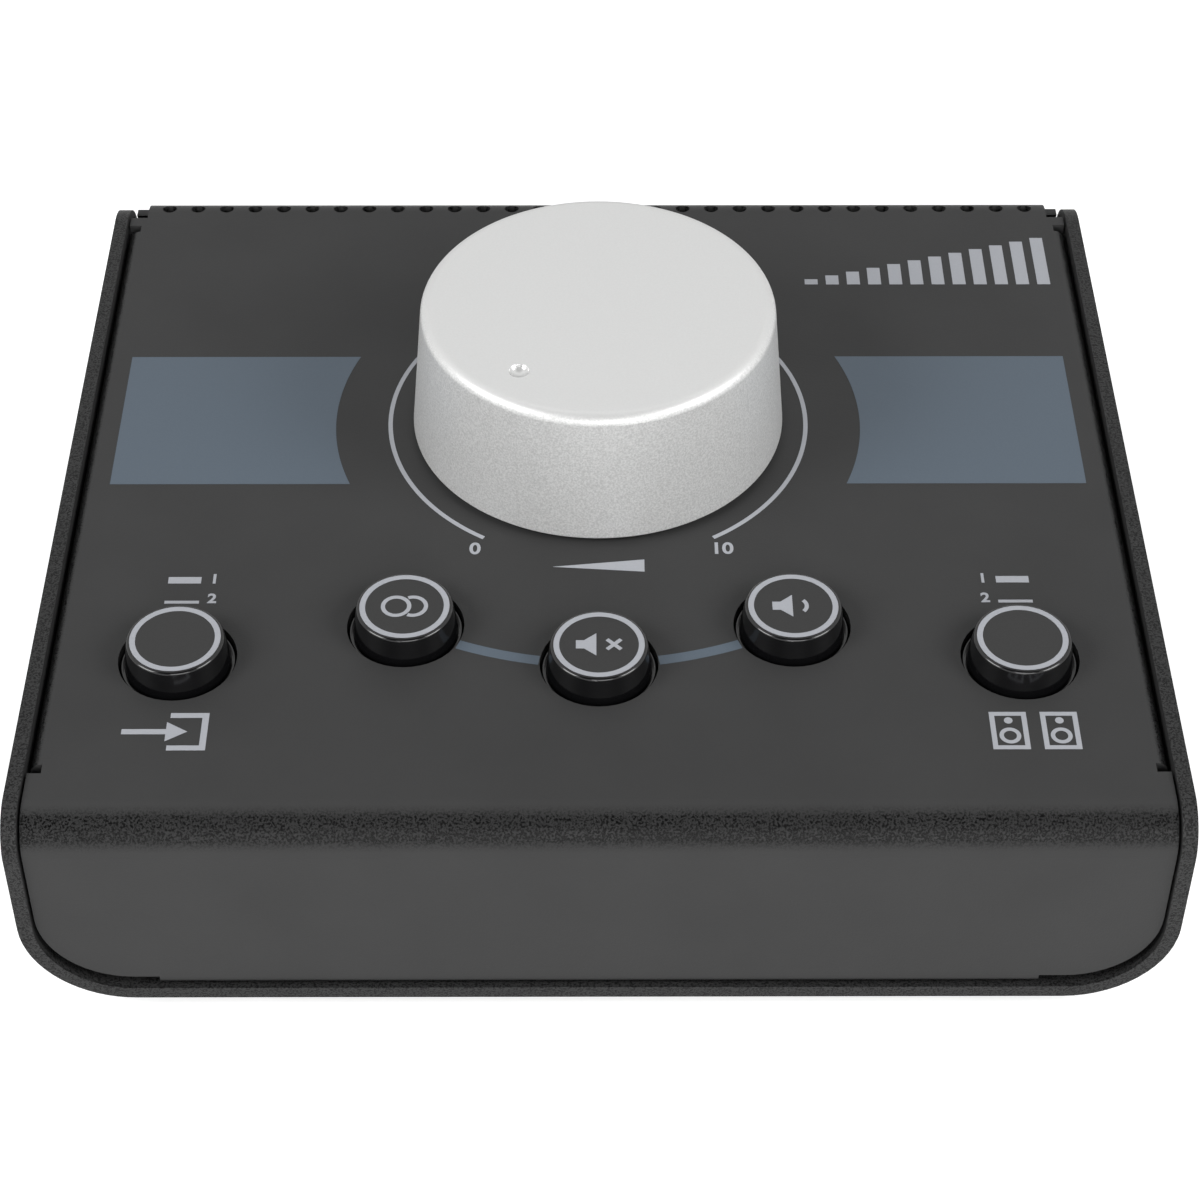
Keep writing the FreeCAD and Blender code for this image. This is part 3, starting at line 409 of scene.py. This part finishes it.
def frame_bars(half_width, half_height, line):
    """Four bars round a rectangle."""
    inner = half_width - line
    return [
        bar(-half_width, half_width, -half_height, line - half_height),
        bar(-half_width, half_width, half_height - line, half_height),
        bar(-half_width, -inner, line - half_height, half_height - line),
        bar(inner, half_width, line - half_height, half_height - line),
    ]


def cabinet(x):
    """A loudspeaker cabinet seen from the front: its edge, its cone and its tweeter."""
    tweeter = [(across, up + TWEETER_UP) for across, up in arc(TWEETER_RADIUS, 0, 2 * math.pi)[:-1]]
    cone = band(CONE_RADIUS, CONE_LINE, 0, 2 * math.pi, 4, (0, -CONE_DOWN))
    edge = frame_bars(CABINET_HALF, CABINET_TALL, CABINET_LINE)
    return shifted(edge + cone + [tweeter], x, 0)


for side, name in ((-1, "source"), (1, "monitor")):
    x = side * SELECT_ACROSS
    printed(f"{name}_bar", [bar(x - THICK_HALF, x + THICK_HALF, THICK_NEAR, THICK_FAR)], grey_ink)
    printed(f"{name}_line", [bar(x - THIN_HALF, x + THIN_HALF, THIN_NEAR, THIN_FAR)], grey_ink)
    lettered(f"{name}_one", "1", NUMBER_TALL, x - side * NUMBER_ASIDE, ONE_PLACE, bold=NUMBER_BOLD)
    lettered(f"{name}_two", "2", NUMBER_TALL, x - side * NUMBER_ASIDE, TWO_PLACE, bold=NUMBER_BOLD)
BOX_EDGE = [(0.8, -3.7), (6.4, -3.7), (6.4, 3.7), (0.8, 3.7),
            (0.8, 2.75), (5.45, 2.75), (5.45, -2.75), (0.8, -2.75)]
ARROW = [(-6.0, -0.5), (0.4, -0.5), (0.4, -1.9), (3.5, 0), (0.4, 1.9), (0.4, 0.5), (-6.0, 0.5)]
printed("source_label", shifted([BOX_EDGE, ARROW], -SELECT_ACROSS, SELECT_LABEL), grey_ink)
cabinets = cabinet(-CABINET_ASIDE) + cabinet(CABINET_ASIDE)
printed("monitor_label", shifted(cabinets, SELECT_ACROSS, SELECT_LABEL), grey_ink)


# Level ramp
# A row of bars that rise to the right, printed in the same grey ink at the rear of the panel.
def new_geometry(name, sockets):
    """A Geometry Nodes tree with named inputs; gives the tree and its input node."""
    tree = bpy.data.node_groups.new(name, "GeometryNodeTree")
    for label, kind in sockets:
        tree.interface.new_socket(label, in_out="INPUT", socket_type=kind)
    tree.interface.new_socket("Geometry", in_out="OUTPUT", socket_type="NodeSocketGeometry")
    return tree, add(tree, "NodeGroupInput").outputs


def close_geometry(tree, geometry, finish):
    """End a tree in real faces with their material."""
    real = add(tree, "GeometryNodeRealizeInstances", links={"Geometry": geometry})
    painted = add(tree, "GeometryNodeSetMaterial", links={"Geometry": real.outputs[0], "Material": finish})
    add(tree, "NodeGroupOutput", links={"Geometry": painted.outputs[0]})


def grown(name, tree, values, place, body="case"):
    """The plain mesh that a tree makes with these inputs, put in its place."""
    seed = bpy.data.objects.new(name, bpy.data.meshes.new(f"{name}_seed"))
    bpy.context.scene.collection.objects.link(seed)
    modifier = seed.modifiers.new("grow", "NODES")
    modifier.node_group = tree
    for socket in tree.interface.items_tree:
        if socket.in_out == "INPUT":
            modifier[socket.identifier] = values[socket.name]
    bpy.context.view_layer.update()
    mesh = bpy.data.meshes.new_from_object(seed.evaluated_get(bpy.context.evaluated_depsgraph_get()))
    bpy.data.objects.remove(seed)
    mesh.name = name
    mesh.transform(place)
    piece = bpy.data.objects.new(name, mesh)
    bpy.context.scene.collection.objects.link(piece)
    if body:
        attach(piece, body)
    return piece


tree, given = new_geometry("rising_bars", (
    ("Count", "NodeSocketInt"), ("Pitch", "NodeSocketFloat"), ("Width", "NodeSocketFloat"),
    ("Lowest", "NodeSocketFloat"), ("Highest", "NodeSocketFloat"), ("Thickness", "NodeSocketFloat"),
    ("Ink", "NodeSocketMaterial"),
))
line = add(tree, "GeometryNodeMeshLine", links={"Count": given["Count"]})
index = add(tree, "GeometryNodeInputIndex").outputs[0]
last = add(tree, "ShaderNodeMath", {"operation": "SUBTRACT", 1: 1.0}, {0: given["Count"]})
share = add(tree, "ShaderNodeMath", {"operation": "DIVIDE"}, {0: index, 1: last.outputs[0]})
height = add(tree, "ShaderNodeMapRange", links={"Value": share.outputs[0], "To Min": given["Lowest"],
                                                "To Max": given["Highest"]}).outputs["Result"]
across = add(tree, "ShaderNodeMath", {"operation": "MULTIPLY"}, {0: index, 1: given["Pitch"]})
half = add(tree, "ShaderNodeMath", {"operation": "MULTIPLY", 1: 0.5}, {0: height})
spot = add(tree, "ShaderNodeCombineXYZ", links={"X": across.outputs[0], "Y": half.outputs[0]})
placed = add(tree, "GeometryNodeSetPosition",
             links={"Geometry": line.outputs[0], "Position": spot.outputs[0]})
block = add(tree, "GeometryNodeMeshCube")
size = add(tree, "ShaderNodeCombineXYZ", links={"X": given["Width"], "Y": height, "Z": given["Thickness"]})
bars = add(tree, "GeometryNodeInstanceOnPoints",
           links={"Points": placed.outputs[0], "Instance": block.outputs[0], "Scale": size.outputs[0]})
close_geometry(tree, bars.outputs[0], given["Ink"])
RAMP_START, RAMP_FOOT, RAMP_COUNT, RAMP_PITCH = 36.4, 35.2, 12, 3.6
RAMP_BAR, RAMP_LOWEST, RAMP_HIGHEST = 2.2, 1.4, 13.0
grown("level_ramp", tree, {
    "Count": RAMP_COUNT, "Pitch": RAMP_PITCH * MM, "Width": RAMP_BAR * MM, "Lowest": RAMP_LOWEST * MM,
    "Highest": RAMP_HIGHEST * MM, "Thickness": (INK_PROUD + INK_SUNK) * MM, "Ink": grey_ink,
}, PANEL @ Matrix.Translation((RAMP_START * MM, RAMP_FOOT * MM, (INK_PROUD - INK_SUNK) / 2 * MM)))

# Knob
# Turned from a bar of aluminium, bead-blasted and clear anodised: an even satin, grainier on the flank than
# on the faced top. The anodic film scatters light, so it is shaded as part metal. The pointer is a small
# dimple, cut with a ball cutter and left bright.
DIMPLE_PLACE, DIMPLE_EDGE = on_panel(-12.05, -16.59, 23.6), 1.6 * MM
BEAD_MARK = 0.30 * MM
satin, tree = new_material("satin_anodised_aluminium")
place = add(tree, "ShaderNodeTexCoord").outputs["Object"]
beads = add(tree, "ShaderNodeTexNoise", {"Scale": 1 / BEAD_MARK, "Detail": 3.0, "Roughness": 0.65},
            {"Vector": place}).outputs["Fac"]
flank = add(tree, "ShaderNodeMapRange", {"From Min": 0.9, "From Max": 0.5, "To Min": 0.12, "To Max": 1.0},
            {"Value": facing(tree, PANEL_NORMAL)}).outputs["Result"]
height = add(tree, "ShaderNodeMath", {"operation": "MULTIPLY"}, {0: beads, 1: flank})
bump = add(tree, "ShaderNodeBump", {"Strength": 1.0, "Distance": 0.04 * MM}, {"Height": height.outputs[0]})
away = add(tree, "ShaderNodeVectorMath", {"operation": "DISTANCE"}, {0: place})
away.inputs[1].default_value = DIMPLE_PLACE
bright_cut = add(tree, "ShaderNodeMapRange", {"From Min": DIMPLE_EDGE * 1.05, "From Max": DIMPLE_EDGE * 0.95},
                 {"Value": away.outputs["Value"]}).outputs["Result"]
blasted = add(tree, "ShaderNodeMapRange", {"To Min": 0.36, "To Max": 0.46},
              {"Value": beads}).outputs["Result"]
rough = add(tree, "ShaderNodeMix", {"data_type": "FLOAT", "B": 0.12}, {"Factor": bright_cut, "A": blasted})
specks = add(tree, "ShaderNodeMapRange",
             {"From Min": 0.38, "From Max": 0.62, "To Min": 0.84, "To Max": 1.10},
             {"Value": beads}).outputs["Result"]
specks = add(tree, "ShaderNodeMix", {"data_type": "FLOAT", "A": 1.0}, {"Factor": flank, "B": specks})
colour = add(tree, "ShaderNodeVectorMath", {"operation": "SCALE"}, {"Scale": specks.outputs["Result"]})
colour.inputs[0].default_value = linear("#d3d3d2")[:3]
metal = add(tree, "ShaderNodeBsdfPrincipled", {"Metallic": 0.4}, {
    "Base Color": colour.outputs["Vector"], "Roughness": rough.outputs["Result"],
    "Normal": bump.outputs["Normal"],
})
shade(tree, metal)
dress(satin, "volume_knob")

# Button caps
# Injection-moulded ABS. The skirts come out of a polished tool, and the tops are matt, with a printed ring.
CAP_TOP, CAP_MATT_RADIUS, RING_RADIUS, RING_WIDTH = 4.0, 6.75, 6.27, 0.85


def moulded(name, colour, roughness, grain, depth):
    """A moulded plastic or rubber, with the texture of its tool: grain and depth in millimetres."""
    material, tree = new_material(name)
    place = add(tree, "ShaderNodeTexCoord").outputs["Object"]
    texture = add(tree, "ShaderNodeTexNoise", {"Scale": 1 / (grain * MM), "Detail": 2.0}, {"Vector": place})
    bump = add(tree, "ShaderNodeBump", {"Strength": 1.0, "Distance": depth * MM},
               {"Height": texture.outputs["Fac"]})
    rough = add(tree, "ShaderNodeMapRange", {"To Min": roughness * 0.9, "To Max": roughness * 1.15},
                {"Value": texture.outputs["Fac"]})
    plastic = add(tree, "ShaderNodeBsdfPrincipled", {"Base Color": linear(colour), "IOR": 1.53}, {
        "Roughness": rough.outputs["Result"], "Normal": bump.outputs["Normal"],
    })
    shade(tree, plastic)
    return material


gloss_abs = moulded("polished_black_abs", "#0b0b0c", 0.14, 1.5, 0.004)
matt_abs = moulded("spark_eroded_black_abs", "#191919", 0.55, 0.25, 0.012)
LOUDSPEAKER = [(-2.5, -0.85), (-1.3, -0.85), (0.5, -2.3), (0.5, 2.3), (-1.3, 0.85), (-2.5, 0.85)]
MUTE_SHIFT, CROSS_ASIDE, CROSS_REACH, CROSS_LINE = -0.9, 2.2, 1.45, 0.6
DIM_SHIFT, WAVE_ASIDE, WAVE_RADIUS, WAVE_LINE, WAVE_HALF_TURN = -0.6, 0.4, 1.6, 0.6, 0.8


def cross(x, s, reach, width):
    """A diagonal cross as one outline."""
    outline = []
    for quarter in range(4):
        turn = Matrix.Rotation(math.radians(45 + 90 * quarter), 2)
        for corner in ((reach, -width / 2), (reach, width / 2), (width / 2, width / 2)):
            point = turn @ Vector(corner)
            outline.append((point.x + x, point.y + s))
    return outline


TO_THE_RIGHT = 1.5 * math.pi
MONO_RADIUS, MONO_SHIFT, MONO_LINE, MONO_GAP = 1.95, 1.25, 0.62, 0.25
clear = MONO_RADIUS + MONO_LINE / 2 + MONO_GAP
opening = math.acos((clear ** 2 - 4 * MONO_SHIFT ** 2 - MONO_RADIUS ** 2) / (4 * MONO_SHIFT * MONO_RADIUS))
pictograms = {
    "mono": band(MONO_RADIUS, MONO_LINE, 0, 2 * math.pi, 4, (-MONO_SHIFT, 0))
            + band(MONO_RADIUS, MONO_LINE, TO_THE_RIGHT - opening, TO_THE_RIGHT + opening, 3,
                   (MONO_SHIFT, 0)),
    "mute": shifted([LOUDSPEAKER], MUTE_SHIFT, 0) + [cross(CROSS_ASIDE, 0, CROSS_REACH, CROSS_LINE)],
    "dim": shifted([LOUDSPEAKER], DIM_SHIFT, 0)
           + band(WAVE_RADIUS, WAVE_LINE, TO_THE_RIGHT - WAVE_HALF_TURN, TO_THE_RIGHT + WAVE_HALF_TURN, 1,
                  (WAVE_ASIDE, 0)),
}
for button, centre in BUTTONS.items():
    dress(gloss_abs, f"{button}_cap")
    body = f"{button}_button"
    top = [arc(CAP_MATT_RADIUS, 0, 2 * math.pi)[:-1]]
    printed(f"{button}_top", top, matt_abs, body, CAP_TOP, centre)
    ring = band(RING_RADIUS, RING_WIDTH, 0, 2 * math.pi, 4)
    printed(f"{button}_ring", ring, grey_ink, body, CAP_TOP + INK_PROUD, centre)
    if button in pictograms:
        printed(f"{button}_mark", pictograms[button], grey_ink, body, CAP_TOP + INK_PROUD, centre)

# Feet
# Moulded rubber discs stuck under the chassis, matt with a faint mould bloom.
rubber = moulded("black_moulded_rubber", "#151515", 0.82, 0.5, 0.02)
dress(rubber, "foot_front_left", "foot_front_right", "foot_rear_left", "foot_rear_right")


# Jacks
# Moulded nylon jacks whose threaded noses come through the rear face, each held by a stamped washer and a
# chamfered hexagon nut of nickel-plated steel. The thread shows as two rings on the nose's free end.
def plated(name, colour, roughness, scratch):
    """Metal with faint drawn marks along one way and a cloudy plating."""
    material, tree = new_material(name)
    place = add(tree, "ShaderNodeTexCoord").outputs["Object"]
    stretched = add(tree, "ShaderNodeMapping", {"Scale": (1.0, 12.0, 1.0)}, {"Vector": place})
    marks = add(tree, "ShaderNodeTexNoise", {"Scale": 1 / (scratch * MM), "Detail": 2.0},
                {"Vector": stretched.outputs[0]})
    clouds = add(tree, "ShaderNodeTexNoise", {"Scale": 1 / (3 * MM), "Detail": 2.0}, {"Vector": place})
    rough = add(tree, "ShaderNodeMapRange", {"To Min": roughness * 0.75, "To Max": roughness * 1.3},
                {"Value": clouds.outputs["Fac"]})
    bump = add(tree, "ShaderNodeBump", {"Strength": 1.0, "Distance": 0.006 * MM},
               {"Height": marks.outputs["Fac"]})
    metal = add(tree, "ShaderNodeBsdfPrincipled", {"Base Color": linear(colour), "Metallic": 1.0}, {
        "Roughness": rough.outputs["Result"], "Normal": bump.outputs["Normal"],
    })
    shade(tree, metal)
    return material


nickel = plated("nickel_plated_steel", "#c3c0b8", 0.26, 0.5)
nylon = moulded("black_moulded_nylon", "#141415", 0.42, 0.6, 0.01)
jacks = [name for name in nodes if name.endswith("_jack") and name != "mini_jack"]
dress(nylon, "mini_jack", *jacks)
dress(nickel, "jack_washers", "mini_jack_nut")

tree, given = new_geometry("hexagon_nuts", (
    ("Count", "NodeSocketInt"), ("Spacing", "NodeSocketFloat"), ("Across Corners", "NodeSocketFloat"),
    ("Height", "NodeSocketFloat"), ("Chamfer Top", "NodeSocketFloat"), ("Chamfer Foot", "NodeSocketFloat"),
    ("Bore", "NodeSocketFloat"), ("Finish", "NodeSocketMaterial"),
))
radius = add(tree, "ShaderNodeMath", {"operation": "MULTIPLY", 1: 0.5}, {0: given["Across Corners"]})
tall = add(tree, "ShaderNodeMath", {"operation": "MULTIPLY", 1: 4.0}, {0: given["Height"]})
hexagon = add(tree, "GeometryNodeMeshCylinder", {"Vertices": 6},
              {"Radius": radius.outputs[0], "Depth": tall.outputs[0]})
cone = add(tree, "GeometryNodeMeshCone", {"Vertices": 96}, {
    "Radius Top": given["Chamfer Top"], "Radius Bottom": given["Chamfer Foot"], "Depth": given["Height"],
})
drill = add(tree, "GeometryNodeMeshCylinder", {"Vertices": 48},
            {"Radius": given["Bore"], "Depth": tall.outputs[0]})
bevelled = add(tree, "GeometryNodeMeshBoolean", {"operation": "INTERSECT"})
tree.links.new(hexagon.outputs[0], bevelled.inputs["Mesh 2"])
tree.links.new(cone.outputs[0], bevelled.inputs["Mesh 2"])
nut = add(tree, "GeometryNodeMeshBoolean", {"operation": "DIFFERENCE"},
          {"Mesh 1": bevelled.outputs[0], "Mesh 2": drill.outputs[0]})
step = add(tree, "ShaderNodeCombineXYZ", links={"X": given["Spacing"]})
row = add(tree, "GeometryNodeMeshLine", links={"Count": given["Count"], "Offset": step.outputs[0]})
nuts = add(tree, "GeometryNodeInstanceOnPoints", links={"Points": row.outputs[0], "Instance": nut.outputs[0]})
close_geometry(tree, nuts.outputs[0], given["Finish"])

JACK_COUNT, JACK_SPACING, THREAD_RADIUS = len(jacks), 17.5, 4.7
NUT_ACROSS, NUT_HEIGHT, CHAMFER_SLOPE = 12.7, 2.0, math.sqrt(3)
CHAMFER_RADIUS = NUT_ACROSS * 0.48
nut_low, nut_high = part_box("jack_nuts")
FACING_REAR = Matrix.Rotation(math.radians(-90), 4, "X")
first_nut = Vector(((nut_low[0] + nut_high[0]) / 2 - (JACK_COUNT - 1) / 2 * JACK_SPACING * MM, nut_low[1],
                    (nut_low[2] + nut_high[2]) / 2))
nuts = grown("jack_nuts_chamfered", tree, {
    "Count": JACK_COUNT, "Spacing": JACK_SPACING * MM,
    "Across Corners": NUT_ACROSS / math.cos(math.radians(30)) * MM, "Height": NUT_HEIGHT * MM,
    "Chamfer Top": CHAMFER_RADIUS * MM,
    "Chamfer Foot": (CHAMFER_RADIUS + NUT_HEIGHT * CHAMFER_SLOPE) * MM, "Bore": THREAD_RADIUS * MM,
    "Finish": nickel,
}, Matrix.Translation(first_nut) @ FACING_REAR)
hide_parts("jack_nuts")

tree, given = new_geometry("thread_rings", (
    ("Count", "NodeSocketInt"), ("Spacing", "NodeSocketFloat"), ("Crests", "NodeSocketInt"),
    ("Crest Pitch", "NodeSocketFloat"), ("Radius", "NodeSocketFloat"), ("Crest Size", "NodeSocketFloat"),
    ("Finish", "NodeSocketMaterial"),
))
loop = add(tree, "GeometryNodeCurvePrimitiveCircle", {"Resolution": 40}, {"Radius": given["Radius"]})
profile = add(tree, "GeometryNodeCurvePrimitiveCircle", {"Resolution": 6}, {"Radius": given["Crest Size"]})
crest = add(tree, "GeometryNodeCurveToMesh",
            links={"Curve": loop.outputs[0], "Profile Curve": profile.outputs[0]})
rise = add(tree, "ShaderNodeCombineXYZ", links={"Z": given["Crest Pitch"]})
stack = add(tree, "GeometryNodeMeshLine", links={"Count": given["Crests"], "Offset": rise.outputs[0]})
thread = add(tree, "GeometryNodeInstanceOnPoints",
             links={"Points": stack.outputs[0], "Instance": crest.outputs[0]})
step = add(tree, "ShaderNodeCombineXYZ", links={"X": given["Spacing"]})
row = add(tree, "GeometryNodeMeshLine", links={"Count": given["Count"], "Offset": step.outputs[0]})
threads = add(tree, "GeometryNodeInstanceOnPoints",
              links={"Points": row.outputs[0], "Instance": thread.outputs[0]})
close_geometry(tree, threads.outputs[0], given["Finish"])
CREST_COUNT, CREST_PITCH, CREST_RADIUS, CREST_SUNK, CREST_START = 2, 0.36, 0.14, 0.06, 0.18
rings = grown("jack_threads", tree, {
    "Count": JACK_COUNT, "Spacing": JACK_SPACING * MM, "Crests": CREST_COUNT,
    "Crest Pitch": CREST_PITCH * MM, "Radius": (THREAD_RADIUS - CREST_SUNK) * MM,
    "Crest Size": CREST_RADIUS * MM, "Finish": nylon,
}, Matrix.Translation(first_nut + Vector((0, (NUT_HEIGHT + CREST_START) * MM, 0))) @ FACING_REAR)

# Screws
# Zinc-plated machine screws hold the cover's lips to the chassis from below, and the board to its standoffs.
zinc = plated("zinc_plated_steel", "#b4b5b8", 0.34, 0.4)
dress(zinc, "case_screws", "board_screws")

# Potentiometer and switches
# A four-gang potentiometer behind the panel: steel shaft in a brass bush with a steel nut, moulded gangs. The
# five push switches are moulded housings with nylon plungers.
brass = plated("drawn_brass", "#c9a865", 0.30, 0.4)
phenolic = moulded("black_phenolic_moulding", "#1b1a19", 0.5, 0.8, 0.01)
dress(brass, "pot_bushing")
dress(nickel, "pot_shaft", "pot_nut", "pot_washer", "board_standoffs")
dress(phenolic, "pot_body")
ivory = moulded("natural_nylon", "#cfcab9", 0.4, 0.7, 0.008)
dress(ivory, "knob_insert")
for button in BUTTONS:
    dress(ivory, f"{button}_plunger")
    dress(phenolic, f"{button}_switch")

# Return springs
# Coils of hard-drawn steel wire between each switch's floor and its plunger's collar, shortening as the
# button goes down.
SPRING_RADIUS, SPRING_WIRE, SPRING_TURNS = 2.2, 0.45, 5.0
spring_steel = plated("hard_drawn_spring_steel", "#a9a8a5", 0.30, 0.3)
tree, given = new_geometry("coil_spring", (
    ("Turns", "NodeSocketFloat"), ("Radius", "NodeSocketFloat"), ("Wire Radius", "NodeSocketFloat"),
    ("Height", "NodeSocketFloat"), ("Finish", "NodeSocketMaterial"),
))
helix = add(tree, "GeometryNodeCurveSpiral", {"Resolution": 24}, {
    "Rotations": given["Turns"], "Start Radius": given["Radius"], "End Radius": given["Radius"],
    "Height": given["Height"],
})
profile = add(tree, "GeometryNodeCurvePrimitiveCircle", {"Resolution": 10}, {"Radius": given["Wire Radius"]})
wire = add(tree, "GeometryNodeCurveToMesh", {"Fill Caps": True},
           {"Curve": helix.outputs[0], "Profile Curve": profile.outputs[0]})
close_geometry(tree, wire.outputs[0], given["Finish"])
for button, (x, s) in BUTTONS.items():
    rises = [(PANEL.inverted() @ corner.co).z / MM for corner in nodes[f"{button}_spring"].data.vertices]
    foot, head = min(rises) + SPRING_WIRE / 2, max(rises) - SPRING_WIRE / 2
    coil = grown(f"{button}_spring_coil", tree, {
        "Turns": SPRING_TURNS, "Radius": SPRING_RADIUS * MM, "Wire Radius": SPRING_WIRE / 2 * MM,
        "Height": (head - foot) * MM, "Finish": spring_steel,
    }, PANEL @ Matrix.Translation((x * MM, s * MM, foot * MM)), body=None)
    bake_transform(coil)
    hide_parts(f"{button}_spring")

# Boards and ribbon cable
# Glass-epoxy boards under green solder resist, tinned brass terminals, and a grey ribbon between two headers.
resist = moulded("green_solder_resist", "#123a22", 0.3, 0.9, 0.012)
tinned = plated("tinned_brass", "#c4c2bc", 0.32, 0.3)
ribbon_pvc = moulded("grey_ribbon_pvc", "#8b8b8b", 0.5, 1.27, 0.05)
dress(resist, "control_board", "jack_board")
dress(tinned, "switch_terminals", "jack_terminals", "mini_jack_leads")
dress(nylon, "control_header", "jack_header")
dress(ribbon_pvc, "ribbon_cable")
